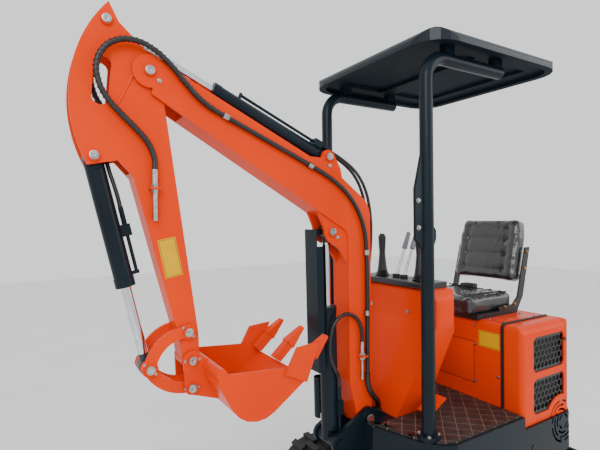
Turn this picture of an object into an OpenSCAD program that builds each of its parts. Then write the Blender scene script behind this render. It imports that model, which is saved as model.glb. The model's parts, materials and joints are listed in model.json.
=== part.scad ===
// Canopy mini excavator of the one-tonne class, parked with its arm tucked in.
// Lengths are millimetres. X points forward, Y to the machine's left, Z up, ground at zero.
// Places are measured from the slew axis; at_origin() then centres the part over its footprint.

/* [Tracks] */
// Distance between the two track centre lines
track_gauge = 750; // [700:5:800]
// Width of one rubber track
track_w = 180; // [150:5:200]
// Distance between sprocket and idler axles
wheel_base = 840; // [780:10:920]
// Radius of the inside of the belt round its wheels
wheel_r = 147; // [130:1:160]
// Thickness of the belt
belt_t = 20; // [16:1:24]
// Height of the ground lugs
lug_h = 18; // [10:1:24]
// Length of one lug along the track
lug_len = 32; // [24:1:40]
// Number of lugs on each half of a track
lug_count = 37; // [30:1:40]

/* [Blade] */
// Width over the blade
blade_w = 930; // [860:5:980]
// Height of the blade
blade_h = 230; // [180:5:260]
// Distance of the blade's cutting edge behind the slew axis
blade_reach = 880; // [840:5:940]
// Height of the parked blade above the ground
blade_gap = 10; // [5:1:40]

/* [Upper structure] */
// Height of the floor
floor_z = 650; // [620:5:690]
// Height of the underside of the upper frame
frame_z = 412; // [405:1:440]
// Half the width of the upper frame
deck_hw = 440; // [420:5:455]
// Distance of the tail behind the slew axis
tail_x = 560; // [520:5:600]
// Distance of the front plate ahead of the slew axis
nose_x = 470; // [450:5:490]
// Height of the hood above the floor
hood_h = 382; // [340:2:420]
// Distance of the seat box front behind the slew axis
seat_box_x = 145; // [120:5:170]
// Height of the console above the floor
console_h = 590; // [540:5:640]

/* [Canopy] */
// Diameter of the canopy posts
post_d = 54; // [48:1:60]
// Distance between the posts
post_gauge = 680; // [640:5:700]
// Place of the posts ahead of the slew axis
post_x = 350; // [330:5:370]
// Length of the roof
roof_l = 880; // [800:10:920]
// Width of the roof
roof_w = 870; // [820:10:900]
// Height of the roof's rim above the floor
roof_h = 1562; // [1500:2:1620]

/* [Digging front] */
// Place of the boom foot pin ahead of the slew axis
boom_foot_x = 436; // [426:1:446]
// Boom tip pin ahead of the foot pin
boom_dx = 914; // [890:2:940]
// Boom tip pin above the foot pin
boom_dz = 1379; // [1350:1:1400]
// Width of the boom
boom_w = 110; // [104:1:116]
// Width of the arm
arm_w = 84; // [80:1:88]
// Bucket pin behind the boom tip pin
arm_dx = 131; // [120:1:140]
// Bucket pin below the boom tip pin
arm_dz = 992; // [960:2:1010]
// Width of the bucket over its side plates
bucket_w = 392; // [360:2:410]
// Reach of the teeth from the bucket pin
tooth_reach = 488; // [476:1:496]

/* [Cylinders] */
// Barrel diameter of the boom cylinder
boom_barrel_d = 76; // [70:1:78]
// Barrel diameter of the arm cylinder
arm_barrel_d = 60; // [54:1:64]
// Barrel diameter of the bucket cylinder
bucket_barrel_d = 62; // [56:1:66]
// Diameter of the piston rods
rod_d = 34; // [28:1:36]

/* [Hidden] */
$fn = 48;

// Shared small sizes
eps = 0.5;
overrun = 2;
fit = 0.3;
bar_sink = 0.25;
pin_r = 14;
pin_head_r = 19;
pin_head_t = 9;
orange = "#ff5a10";
navy = "#26343d";
black = "#17181a";
steel = "#b9bec2";
chrome = "#d8dbde";

// Outline tools
function unit(v) = v / norm(v);
function turn_of(a, b) = let (d = b - a) d > 180 ? d - 360 : d < -180 ? d + 360 : d;
function corner_arc(a, b, c, r, n = 5) =
  let (u = unit(a - b), v = unit(c - b), half = acos(max(-1, min(1, u * v))) / 2, mid = unit(u + v),
    ctr = b + mid * (r / sin(half)), p = b + u * (r / tan(half)) - ctr, q = b + v * (r / tan(half)) - ctr,
    a0 = atan2(p[1], p[0]), turn = turn_of(a0, atan2(q[1], q[0])))
  [for (i = [0:n]) ctr + r * [cos(a0 + turn * i / n), sin(a0 + turn * i / n)]];
function rounded(pts, radii) = let (n = len(pts))
  [for (i = [0:n - 1]) each radii[i] == 0 ? [pts[i]]
    : corner_arc(pts[(i + n - 1) % n], pts[i], pts[(i + 1) % n], radii[i])];
function alike(n, r) = [for (i = [1:n]) r];

// A flat bar with round ends between two points
module bar(a, b, ra, rb) {
  d = b - a;
  along = atan2(d[1], d[0]);
  lean = acos((ra - rb) / norm(d));
  translate(a) circle(ra);
  translate(b) circle(rb);
  polygon([for (k = [[a, ra, 1], [b, rb, 1], [b, rb, -1], [a, ra, -1]])
    k[0] + (k[1] - bar_sink) * [cos(along + k[2] * lean), sin(along + k[2] * lean)]]);
}

// A band bent from one point to another along an arc, with a round boss at each end
module arched(a, b, half_w, boss_r, bulge) {
  chord = norm(b - a);
  across = unit([a[1] - b[1], b[0] - a[0]]);
  arc_r = (chord * chord / 4 + bulge * bulge) / (2 * bulge);
  ctr = (a + b) / 2 + across * (bulge - arc_r);
  from = atan2(a[1] - ctr[1], a[0] - ctr[0]);
  turn = turn_of(from, atan2(b[1] - ctr[1], b[0] - ctr[0]));
  steps = 12;
  polygon([for (side = [1, -1], k = side > 0 ? [0:steps] : [steps:-1:0])
    ctr + (abs(arc_r) + side * half_w) * [cos(from + turn * k / steps), sin(from + turn * k / steps)]]);
  translate(a) circle(boss_r);
  translate(b) circle(boss_r);
}

// A tube swept along a route, with a ring of corners at each of its points
hose_sides = 10;
function heading(route, i) = unit(route[min(i + 1, len(route) - 1)] - route[max(i - 1, 0)]);
function hose_ring(p, d, r) = let (e = unit(cross(d, [0, 1, 0])), f = cross(d, e))
  [for (k = [0:hose_sides - 1]) p + r * (cos(360 * k / hose_sides) * e + sin(360 * k / hose_sides) * f)];
module hose(route, r) {
  last = len(route) - 1;
  m = hose_sides;
  polyhedron(
    points = [for (i = [0:last]) each hose_ring(route[i], heading(route, i), r)],
    faces = concat([[for (k = [0:m - 1]) k]], [[for (k = [m - 1:-1:0]) last * m + k]],
      [for (i = [0:last - 1], k = [0:m - 1]) [i * m + k, i * m + m + k, i * m + (k + 1) % m]],
      [for (i = [0:last - 1], k = [0:m - 1]) [i * m + (k + 1) % m, i * m + m + k,
        i * m + m + (k + 1) % m]]));
}
// Place of a point given in the frame from one pin to another
function in_frame(a, b, p) = let (u = unit(b - a)) [a[0] + u[0] * p[0] - u[1] * p[2], p[1],
  a[1] + u[1] * p[0] + u[0] * p[2]];

// Solid from an outline in the X Z plane, between two places across the machine
module slab(y0, y1) {
  translate([0, y1, 0])
    rotate([90, 0, 0])
      linear_extrude(y1 - y0) children();
}
module pair(y0, y1) {
  slab(y0, y1) children();
  slab(-y1, -y0) children();
}
// Round bar across the machine at a point of the X Z plane
module cross_bar(p, r, y0, y1) {
  translate([p[0], y1, p[1]])
    rotate([90, 0, 0])
      cylinder(r = r, h = y1 - y0);
}
// Frame whose X axis runs from one point of the X Z plane to another
module toward(a, b) {
  d = b - a;
  translate([a[0], 0, a[1]])
    rotate([0, -atan2(d[1], d[0]), 0]) children();
}
module lying(x0, x1, r) {
  translate([x0, 0, 0])
    rotate([0, 90, 0])
      cylinder(r = r, h = x1 - x0);
}
module block(low, high) {
  translate(low) cube(high - low);
}
module pin_heads(p, y) {
  cross_bar(p, pin_head_r, y, y + pin_head_t);
  cross_bar(p, pin_head_r, -y - pin_head_t, -y);
}

// Pins of the digging front
foot = [boom_foot_x, floor_z];
tip = foot + [boom_dx, boom_dz];
boom_base_x = 156;
boom_base_drop = 74;
boom_top_x = 169;
boom_top_z = 823;
arm_base_x = 181;
arm_base_z = 1139;
arm_top_x = 130;
arm_top_z = 148;
bucket_top_x = 174;
bucket_top_drop = 291;
rocker_back = 118;
rocker_drop = 891;
link_x = 3;
link_drop = 96;
rod_x = 132;
rod_drop = 108;
boom_cyl_base = foot + [boom_base_x, -boom_base_drop];
boom_cyl_top = foot + [boom_top_x, boom_top_z];
arm_cyl_base = foot + [arm_base_x, arm_base_z];
arm_cyl_top = tip + [arm_top_x, arm_top_z];
bucket_cyl_top = tip + [bucket_top_x, -bucket_top_drop];
rocker_pin = tip - [rocker_back, rocker_drop];
bucket_pin = tip - [arm_dx, arm_dz];
link_pin = bucket_pin + [link_x, -link_drop];
rod_pin = rocker_pin + [rod_x, -rod_drop];

// Foremost point: the round front of the arm's head, an arc past the pins of its two cylinders
head_edge = 31;
head_curve_share = 1.02;
head_chord = norm(bucket_cyl_top - arm_cyl_top);
head_across = unit(bucket_cyl_top - arm_cyl_top);
head_arc_r = head_curve_share * head_chord + head_edge;
head_arc_c = (arm_cyl_top + bucket_cyl_top) / 2
  + [head_across[1], -head_across[0]] * sqrt(head_curve_share * head_curve_share - 1 / 4) * head_chord;
front_reach = head_arc_c[0] + head_arc_r;
rear_reach = blade_reach;
module at_origin() {
  translate([(rear_reach - front_reach) / 2, 0, 0]) children();
}

// Undercarriage
lug_r = wheel_r + belt_t + lug_h;
axle_z = lug_r;
half_base = wheel_base / 2;
lug_w = 98;
lug_sink = 3;
lug_inset = 2;
belt_r = wheel_r + belt_t;
loop_len = 2 * wheel_base + 2 * PI * belt_r;
beam_w = 124;
beam_h = 92;
beam_end = 120;
hub_r = 200;
hub_z = 176;
leg_h = 96;
leg_w = 120;
ring_z = 386;
ring_r = 232;
ring_in_r = 170;
axle_r = 22;
roller_r = 44;
roller_w = 92;
roller_pitch = 175;
roller_flange_w = 18;
roller_groove_r = 34;
motor_r = 96;
motor_w = 74;
sprocket_w = 46;
sprocket_teeth = 15;
tooth_depth = 22;
idler_w = 100;
idler_rim_t = 26;
idler_web_t = 30;
fork_t = 22;
fork_hh = 44;
hanger_t = 14;
hanger_hw = 34;
motor_plate_y = 58;
motor_plate_t = 16;
motor_rim = 18;

function loop_place(s) = let (arc = PI * belt_r, u = s % loop_len)
  u < wheel_base ? [half_base - u, -belt_r, -90]
  : u < wheel_base + arc ? let (a = -90 - (u - wheel_base) / belt_r * 180 / PI)
    [-half_base + belt_r * cos(a), belt_r * sin(a), a]
  : u < 2 * wheel_base + arc ? [-half_base + u - wheel_base - arc, belt_r, 90]
  : let (a = 90 - (u - 2 * wheel_base - arc) / belt_r * 180 / PI)
    [half_base + belt_r * cos(a), belt_r * sin(a), a];

module stadium(r) {
  translate([-half_base, 0]) circle(r);
  translate([half_base, 0]) circle(r);
  square([wheel_base, 2 * r], center = true);
}
// One lug; round the wheels its face follows the outer circle
module lug_outline(on_wheel) {
  edge_x = on_wheel ? sqrt(lug_r * lug_r - lug_len * lug_len / 4) - belt_r : lug_h;
  polygon([[-lug_sink, -lug_len / 2], [edge_x, -lug_len / 2], [lug_h, 0], [edge_x, lug_len / 2],
    [-lug_sink, lug_len / 2]]);
}
module track(side) {
  color(black) at_origin() translate([0, side * track_gauge / 2, axle_z]) {
    slab(-track_w / 2, track_w / 2)
      difference() {
        stadium(belt_r);
        stadium(wheel_r);
      }
    for (half = [0, 1])
      for (i = [0:lug_count - 1])
        let (p = loop_place((i + half / 2) * loop_len / lug_count))
          translate([p[0], -track_w / 2 + lug_inset + half * (track_w - lug_w - 2 * lug_inset), p[1]])
            rotate([0, -p[2], 0])
              slab(0, lug_w)
                lug_outline(abs(p[0]) > half_base);
  }
}
module track_left() { track(1); }
module track_right() { track(-1); }

module both_sides() {
  children();
  mirror([0, 1, 0]) children();
}
module sprockets() {
  color(steel) at_origin() both_sides()
    translate([half_base, track_gauge / 2, axle_z])
      slab(-sprocket_w / 2, sprocket_w / 2)
        difference() {
          circle(wheel_r - fit);
          for (i = [0:sprocket_teeth - 1])
            rotate(360 / sprocket_teeth * i)
              translate([wheel_r, 0])
                circle(tooth_depth);
          circle(motor_r + fit);
        }
}
module idlers() {
  color(navy) at_origin() both_sides()
    translate([-half_base, track_gauge / 2, axle_z])
      rotate([90, 0, 0])
        rotate_extrude()
          difference() {
            translate([axle_r + fit, -idler_w / 2])
              square([wheel_r - 2 * fit - axle_r, idler_w]);
            for (s = [-1, 1])
              translate([axle_r * 2, s * (idler_web_t + idler_w) / 2 - idler_w / 2])
                square([wheel_r - idler_rim_t - axle_r * 2, idler_w]);
          }
}
module track_rollers() {
  color(navy) at_origin() both_sides()
    for (i = [-1:1])
      translate([i * roller_pitch, track_gauge / 2, roller_z])
        rotate([90, 0, 0])
          rotate_extrude()
            difference() {
              translate([axle_r / 2 + fit, -roller_w / 2])
                square([roller_r - axle_r / 2 - fit, roller_w]);
              translate([roller_groove_r, -roller_w / 2 + roller_flange_w])
                square([roller_r, roller_w - 2 * roller_flange_w]);
            }
}
module travel_motors() {
  color(navy) at_origin() both_sides()
    translate([half_base, track_gauge / 2, axle_z]) {
      cross_bar([0, 0], motor_r, -track_w / 2 - motor_w, track_w / 2 - sprocket_w);
      cross_bar([0, 0], motor_r - tooth_depth, -track_w / 2, track_w / 2);
    }
}
roller_z = lug_h + belt_t + roller_r + fit;
module track_frame() {
  color(navy) at_origin() {
    both_sides() translate([0, track_gauge / 2, 0]) {
      // side beam, idler fork with its axle, roller hangers with their axles
      block([-half_base + wheel_r + fit, -beam_w / 2, axle_z - beam_h / 2],
        [half_base - wheel_r - overrun, beam_w / 2, axle_z + beam_h / 2]);
      pair(idler_w / 2 + fit, idler_w / 2 + fit + fork_t)
        polygon([[-half_base - fork_hh, axle_z - fork_hh],
          [-half_base + wheel_r + beam_end, axle_z - fork_hh],
          [-half_base + wheel_r + beam_end, axle_z + fork_hh], [-half_base - fork_hh, axle_z + fork_hh]]);
      cross_bar([-half_base, axle_z], axle_r, -idler_w / 2 - fork_t, idler_w / 2 + fork_t);
      for (i = [-1:1]) {
        cross_bar([i * roller_pitch, roller_z], axle_r / 2, -beam_w / 2, beam_w / 2);
        pair(beam_w / 2 - hanger_t, beam_w / 2)
          bar([i * roller_pitch, roller_z], [i * roller_pitch, axle_z], axle_r, hanger_hw);
      }
      // plate that carries the travel motor
      difference() {
        slab(-motor_plate_y, -motor_plate_y + motor_plate_t)
          bar([half_base - motor_r * 2, axle_z], [half_base, axle_z], beam_h / 2, motor_r + motor_rim);
        cross_bar([half_base, axle_z], motor_r + fit, -track_w, track_w);
      }
    }
    // centre body with its cross beams
    translate([0, 0, hub_z]) cylinder(r = hub_r, h = ring_z - hub_z);
    for (x = [-1, 1])
      block([x * hub_r / 2 - leg_w / 2, -track_gauge / 2, axle_z - beam_h / 2 + eps],
        [x * hub_r / 2 + leg_w / 2, track_gauge / 2, axle_z - beam_h / 2 + leg_h]);
    // ears for the blade arms and the blade cylinder
    for (s = [-1, 1])
      slab(s * blade_arm_y - blade_ear_t / 2 - blade_arm_w * s,
        s * blade_arm_y + blade_ear_t / 2 - blade_arm_w * s)
        bar([-hub_r / 2, axle_z], blade_pivot, leg_h / 2 - eps, blade_boss_r);
    pair(blade_eye_hw + fit, blade_eye_hw + fit + blade_ear_t)
      bar([-hub_r / 2, blade_cyl_base[1]], blade_cyl_base, blade_boss_r, blade_boss_r);
    cross_bar(blade_cyl_base, blade_pin_r, -blade_eye_hw - eps, blade_eye_hw + eps);
    for (s = [-1, 1])
      cross_bar(blade_pivot, blade_pin_r, s * blade_arm_y - blade_arm_w, s * blade_arm_y + blade_arm_w);
  }
}
module slew_ring() {
  color(steel) at_origin()
    translate([0, 0, ring_z])
      difference() {
        cylinder(r = ring_r, h = frame_z - ring_z - fit);
        translate([0, 0, -eps]) cylinder(r = ring_in_r, h = frame_z - ring_z + eps);
      }
}

// Dozer blade
blade_arm_y = 150;
blade_arm_w = 46;
blade_arm_t = 60;
blade_ear_t = 24;
blade_boss_r = 36;
blade_pin_r = 16;
blade_pivot_x = 430;
blade_pivot_z = 205;
blade_base_x = 262;
blade_base_z = 330;
blade_top_x = 745;
blade_top_z = 225;
blade_pivot = [-blade_pivot_x, blade_pivot_z];
blade_cyl_base = [-blade_base_x, blade_base_z];
blade_cyl_top = [-blade_top_x, blade_top_z];
blade_eye_hw = 24;
blade_curve_r = 330;
blade_t = 12;
blade_edge_h = 36;
blade_edge_t = 16;
blade_back_x = 120;
tie_y = 320;
tie_t = 18;
tie_r = 32;
tie_hole_r = 15;
tie_x = 90;
tie_z = 115;
tie_eye = [tie_x - blade_reach, tie_z + blade_gap];
module dozer_blade() {
  mid_z = blade_gap + blade_h / 2;
  face_x = -blade_reach + blade_edge_t;
  color(navy) at_origin() {
    // curved mouldboard, hollow side to the rear
    slab(-blade_w / 2, blade_w / 2)
      intersection() {
        difference() {
          translate([face_x - blade_curve_r + blade_t * 2, mid_z]) circle(blade_curve_r + blade_t);
          translate([face_x - blade_curve_r + blade_t * 2, mid_z]) circle(blade_curve_r);
        }
        translate([face_x - blade_t * 3, blade_gap + blade_edge_h / 2])
          square([blade_t * 8, blade_h - blade_edge_h / 2]);
      }
    block([-blade_reach, -blade_w / 2, blade_gap],
      [-blade_reach + blade_edge_t * 2, blade_w / 2, blade_gap + blade_edge_h]);
    for (s = [-1, 1])
      difference() {
        slab(s * blade_arm_y - blade_arm_w / 2, s * blade_arm_y + blade_arm_w / 2)
          bar(blade_pivot, [face_x + blade_t * 3, mid_z - blade_edge_h], blade_boss_r, blade_arm_t / 2);
        cross_bar(blade_pivot, blade_pin_r + fit, s * blade_arm_y - blade_arm_w,
          s * blade_arm_y + blade_arm_w);
      }
    pair(blade_eye_hw + fit, blade_eye_hw + fit + blade_ear_t)
      bar(blade_cyl_top, [face_x + blade_t * 2, blade_cyl_top[1]], blade_boss_r - blade_t,
        blade_boss_r - blade_t);
    // eyes for lashing and towing
    for (y = [-tie_y, tie_y])
      difference() {
        slab(y - tie_t / 2, y + tie_t / 2) bar([face_x + blade_t * 2, tie_eye[1]], tie_eye, tie_r, tie_r);
        cross_bar(tie_eye, tie_hole_r, y - tie_t, y + tie_t);
      }
    block([blade_cyl_top[0] - blade_back_x + blade_boss_r, -blade_arm_y,
      mid_z - blade_edge_h - blade_arm_t / 2],
      [blade_cyl_top[0] - blade_boss_r, blade_arm_y, mid_z - blade_edge_h + blade_arm_t / 4]);
  }
}

// Hydraulic cylinders: barrel with base eye and gland, rod with its own eye and pin shank
gland_l = 30;
gland_lip = 2;
function span(a, b) = norm(b - a);
module barrel(a, b, d, len, eye_r, eye_hw, bore_from) {
  toward(a, b)
    difference() {
      union() {
        cross_bar([0, 0], eye_r, -eye_hw, eye_hw);
        lying(0, len, d / 2);
        lying(len - gland_l, len, d / 2 + gland_lip);
      }
      cross_bar([0, 0], pin_r + fit, -eye_hw - d, eye_hw + d);
      lying(bore_from, len + overrun, rod_d / 2 + fit);
      for (s = [-1, 1])
        block([-d, s * (eye_hw + d) - d, -d], [eye_r + pin_r, s * (eye_hw + d) + d, d]);
    }
}
module piston_rod(a, b, len, eye_r, eye_hw, shank_hw) {
  toward(b, a) {
    lying(0, len, rod_d / 2);
    cross_bar([0, 0], eye_r, -eye_hw, eye_hw);
    cross_bar([0, 0], pin_r, -shank_hw, shank_hw);
  }
}
eye_r = 30;
eye_hw = 26;
boom_eye_r = 26;
boom_barrel_l = 575;
boom_rod_l = 460;
arm_barrel_l = 545;
arm_rod_l = 470;
bucket_barrel_l = 440;
bucket_rod_l = 380;
blade_barrel_l = 300;
blade_rod_l = 300;
blade_barrel_d = 64;
bore_start = 60;
module blade_barrel() {
  color(navy) at_origin()
    toward(blade_cyl_base, blade_cyl_top)
      difference() {
        union() {
          cross_bar([0, 0], eye_r, -blade_eye_hw, blade_eye_hw);
          lying(0, blade_barrel_l, blade_barrel_d / 2);
        }
        cross_bar([0, 0], blade_pin_r + fit, -blade_barrel_d, blade_barrel_d);
        lying(bore_start, blade_barrel_l + overrun, rod_d / 2 + fit);
        for (s = [-1, 1])
          block([-blade_barrel_d, s * (blade_eye_hw + blade_barrel_d) - blade_barrel_d, -blade_barrel_d],
            [eye_r + pin_r, s * (blade_eye_hw + blade_barrel_d) + blade_barrel_d, blade_barrel_d]);
      }
}
module blade_rod() {
  color(chrome) at_origin()
    piston_rod(blade_cyl_base, blade_cyl_top, blade_rod_l, eye_r - blade_t / 2, blade_eye_hw - fit,
      blade_eye_hw);
}

// Upper frame
nose_hw = 140;
corner_x = 402;
corner_hw = 350;
side_x = 352;
side_hw = 415;
straight_x = 300;
tail_hw = 400;
tail_corner_x = 500;
mat_t = 6;
bay_front_x = seat_box_x;
bay_wall = 30;
frame_floor_t = 24;
frame_top = floor_z - mat_t;
cowl_drop = 60;
cowl_z = floor_z - cowl_drop;
module deck_outline() {
  polygon([for (s = [1, -1], k = s > 0 ? [0:5] : [5:-1:0])
    let (x = [-bay_front_x, straight_x, side_x, corner_x, nose_x, nose_x],
      y = [deck_hw, deck_hw, side_hw, corner_hw, nose_hw, 0])
    [x[k], s * y[k]]]);
}
module tail_outline(inset) {
  polygon([
    [-bay_front_x, deck_hw - inset], [-tail_corner_x, deck_hw - inset], [-tail_x + inset, tail_hw - inset],
    [-tail_x + inset, inset - tail_hw], [-tail_corner_x, inset - deck_hw],
      [-bay_front_x, inset - deck_hw]]);
}
ear_gap = 3;
ear_in = boom_w / 2 + ear_gap;
foot_gap = 8;
ear_t = 18;
ear_r = 46;
ear_base_r = 40;
ear_root = 120;
module upper_frame() {
  color(navy) at_origin() {
    difference() {
      translate([0, 0, frame_z]) linear_extrude(frame_top - frame_z) deck_outline();
      // notch round the boom's foot
      block([foot[0] - foot_r - foot_gap, -ear_in, foot[1] - foot_r - foot_gap],
        [nose_x + overrun, ear_in, floor_z]);
    }
    // open engine bay behind the floor
    difference() {
      translate([0, 0, frame_z]) linear_extrude(cowl_z - frame_z - fit) tail_outline(0);
      translate([0, 0, frame_z + frame_floor_t]) linear_extrude(floor_z - frame_z) tail_outline(bay_wall);
      block([-tail_x - overrun, -deck_hw - overrun, frame_z - overrun],
        [-cw_x, deck_hw + overrun, floor_z]);
      vent_slots();
    }
    // boom ears with the foot pin and the cylinder base pin
    pair(ear_in, ear_in + ear_t) {
      bar([nose_x - ear_root, frame_top - ear_r], foot, ear_r, ear_r);
      bar(foot, boom_cyl_base, ear_r, ear_base_r);
      bar([nose_x - ear_root, frame_z + ear_r], boom_cyl_base, ear_r, ear_base_r);
      polygon([[nose_x - ear_root, frame_z], [nose_x - ear_root, frame_top], foot, boom_cyl_base]);
    }
    cross_bar(foot, pin_r, -ear_in - eps, ear_in + eps);
    cross_bar(boom_cyl_base, pin_r, -ear_in - eps, ear_in + eps);
    for (s = [-1, 1])
      cross_bar(boom_cyl_base, eye_r, s * (ear_in + eye_hw + fit) / 2 - (ear_in - eye_hw - fit) / 2,
        s * (ear_in + eye_hw + fit) / 2 + (ear_in - eye_hw - fit) / 2);
    pin_heads(foot, ear_in + ear_t);
    pin_heads(boom_cyl_base, ear_in + ear_t);
  }
}
cw_x = 470;
module counterweight() {
  color(navy) at_origin()
    difference() {
      translate([0, 0, frame_z])
        linear_extrude(cowl_z - frame_z - fit)
          intersection() {
            tail_outline(0);
            translate([-tail_x, -deck_hw]) square([tail_x - cw_x - fit, 2 * deck_hw]);
          }
      vent_slots();
    }
}
mat_inset = 14;
module floor_mat() {
  color("#3a2c25") at_origin()
    translate([0, 0, frame_top])
      linear_extrude(mat_t)
        difference() {
          intersection() {
            polygon([for (s = [1, -1], k = s > 0 ? [0:4] : [4:-1:0])
              let (x = [-bay_front_x + mat_inset, straight_x, side_x, corner_x, nose_x],
                y = [deck_hw, deck_hw, side_hw, corner_hw, nose_hw])
              [x[k] - mat_inset / 2, s * (y[k] - mat_inset)]]);
            translate([-seat_box_x + fit, -deck_hw]) square([nose_x + seat_box_x, 2 * deck_hw]);
          }
          for (s = [-1, 1]) translate([post_x, s * post_gauge / 2]) circle(flange_r + fit);
          translate([console_x0 + console_r - overrun, -console_foot_hw - 2 * overrun])
            square([nose_x, 2 * console_foot_hw + 4 * overrun]);
        }
}

// Hood: one rounded shell, split into the seat box, two cowls and the rear lid
hood_t = 6;
hood_r = 44;
hood_plan_r = 60;
hood_hw = 428;
seam = 2;
seal_y = 332;
lid_x = 498;
hood_front = -seat_box_x;
hood_back_gap = 6;
hood_back = -tail_x + hood_back_gap;
hood_top = floor_z + hood_h;
module hood_form(inset) {
  x0 = hood_back + inset;
  x1 = hood_front - inset;
  hw = hood_hw - inset;
  z1 = hood_top - inset;
  z0 = cowl_z - (inset > 0 ? overrun : 0);
  intersection() {
    translate([0, 0, z0])
      linear_extrude(z1 - z0)
        polygon(rounded([[x0, -hw], [x1, -hw], [x1, hw], [x0, hw]],
          [hood_plan_r, hood_r / 2, hood_r / 2, hood_plan_r] - alike(4, inset * 0.8)));
    translate([x0 - overrun, 0, 0])
      rotate([90, 0, 90])
        linear_extrude(x1 - x0 + 2 * overrun)
          polygon(rounded([[-hw, z0], [hw, z0], [hw, z1], [-hw, z1]],
            [0, 0, hood_r - inset, hood_r - inset]));
    slab(-hw - overrun, hw + overrun)
      polygon(rounded([[x0, z0], [x1, z0], [x1, z1], [x0, z1]], [0, 0, hood_r / 2, hood_r - inset]));
  }
}
module hood_shell() {
  difference() {
    hood_form(0);
    hood_form(hood_t);
  }
}
module seat_box() {
  color(orange) at_origin()
    intersection() {
      hood_shell();
      block([-lid_x + seam, -seal_y + seam, cowl_z], [0, seal_y - seam, hood_top + overrun]);
    }
}
grille_x0 = -230;
grille_x1 = -480;
grille_hi_shares = [0.86, 0.44];
grille_lo_shares = [0.36, -0.06];
grille_r = 26;
vent_r = 98;
vent_x = -450;
vent_drop = 96;
vent_slot = 10;
vent_rings = 4;
vent_turn = 30;
vent = [vent_x, floor_z - vent_drop];
vent_wall = 15;
module window(z_shares) {
  difference() {
    polygon(rounded([[grille_x1, floor_z + hood_h * z_shares[0]],
      [grille_x1, floor_z + hood_h * z_shares[1]],
      [grille_x0, floor_z + hood_h * z_shares[1]], [grille_x0, floor_z + hood_h * z_shares[0]]],
        alike(4, grille_r)));
    translate(vent) circle(vent_r + grille_r);
  }
}
// Rings of slots cut through each flank, each ring broken by turned bridges
module vent_slots() {
  pair(hood_hw - vent_wall, deck_hw + overrun)
    translate(vent)
      for (i = [0:vent_rings - 1])
        rotate(vent_turn * i)
          difference() {
            circle(vent_r - 2 * vent_slot * i);
            circle(vent_r - 2 * vent_slot * i - vent_slot);
            for (a = [0, 90])
              rotate(a) square([2 * vent_r + overrun, vent_slot * 2], center = true);
          }
}
module cowl(s) {
  color(orange) at_origin()
    difference() {
      intersection() {
        hood_shell();
        block([-lid_x + seam, s > 0 ? seal_y : -hood_hw, cowl_z],
          [0, s > 0 ? hood_hw : -seal_y, hood_top + overrun]);
      }
      slab(s > 0 ? seal_y : -hood_hw - overrun, s > 0 ? hood_hw + overrun : -seal_y) {
        window(grille_hi_shares);
        window(grille_lo_shares);
      }
      vent_slots();
    }
}
module left_cowl() { cowl(1); }
module right_cowl() { cowl(-1); }
mesh_t = 3;
mesh_hole_r = 15;
mesh_bar = 5;
mesh_lap = 12;
// Sheet with rows of six-sided holes, as one outline with its hole paths
module mesh_sheet(x0, x1, z0, z1) {
  step_x = mesh_hole_r * sqrt(3) + mesh_bar;
  step_z = step_x * sqrt(3) / 2;
  rows = floor((z1 - z0 - 2 * mesh_lap) / step_z);
  cols = floor((x1 - x0 - 2 * mesh_lap) / step_x);
  holes = [for (r = [0:rows - 1], c = [0:cols - 1 - r % 2])
    [(x0 + x1) / 2 + (c - (cols - 1 - r % 2) / 2) * step_x, (z0 + z1) / 2 + (r - (rows - 1) / 2) * step_z]];
  polygon(concat([[x0, z0], [x1, z0], [x1, z1], [x0, z1]],
    [for (h = holes, k = [0:5]) h + mesh_hole_r * [cos(30 + 60 * k), sin(30 + 60 * k)]]),
    concat([[0, 1, 2, 3]], [for (i = [0:len(holes) - 1]) [for (k = [0:5]) 4 + 6 * i + k]]));
}
module hood_grilles() {
  color(black) at_origin()
    for (z_shares = [grille_hi_shares, grille_lo_shares])
      pair(hood_hw - hood_t - mesh_t - fit, hood_hw - hood_t - fit)
        mesh_sheet(grille_x1 - mesh_lap, grille_x0 + mesh_lap, floor_z + hood_h * z_shares[1] - mesh_lap,
          floor_z + hood_h * z_shares[0] + mesh_lap);
}
seal_w = 14;
seal_t = 6;
// Rubber strips over the seams between the seat box and the cowls
module hood_seals() {
  color(black) at_origin()
    difference() {
      intersection() {
        hood_form(-seal_t);
        pair(seal_y - seal_w / 2, seal_y + seal_w / 2)
          polygon([[-lid_x + seam, floor_z + fit], [0, floor_z + fit], [0, hood_top + hood_h],
            [-lid_x + seam, hood_top + hood_h]]);
      }
      hood_form(-fit);
    }
}
module rear_hood() {
  color(orange) at_origin()
    intersection() {
      hood_shell();
      block([-tail_x - overrun, -hood_hw - overrun, cowl_z + fit],
        [-lid_x - seam, hood_hw + overrun, hood_top + overrun]);
    }
}
engine_l = 275;
engine_w = 520;
engine_h = 420;
module engine_block() {
  color(steel) at_origin()
    block([-bay_front_x - bay_wall - engine_l, -engine_w / 2, frame_z + frame_floor_t],
      [-bay_front_x - bay_wall, engine_w / 2, frame_z + frame_floor_t + engine_h]);
}

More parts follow.
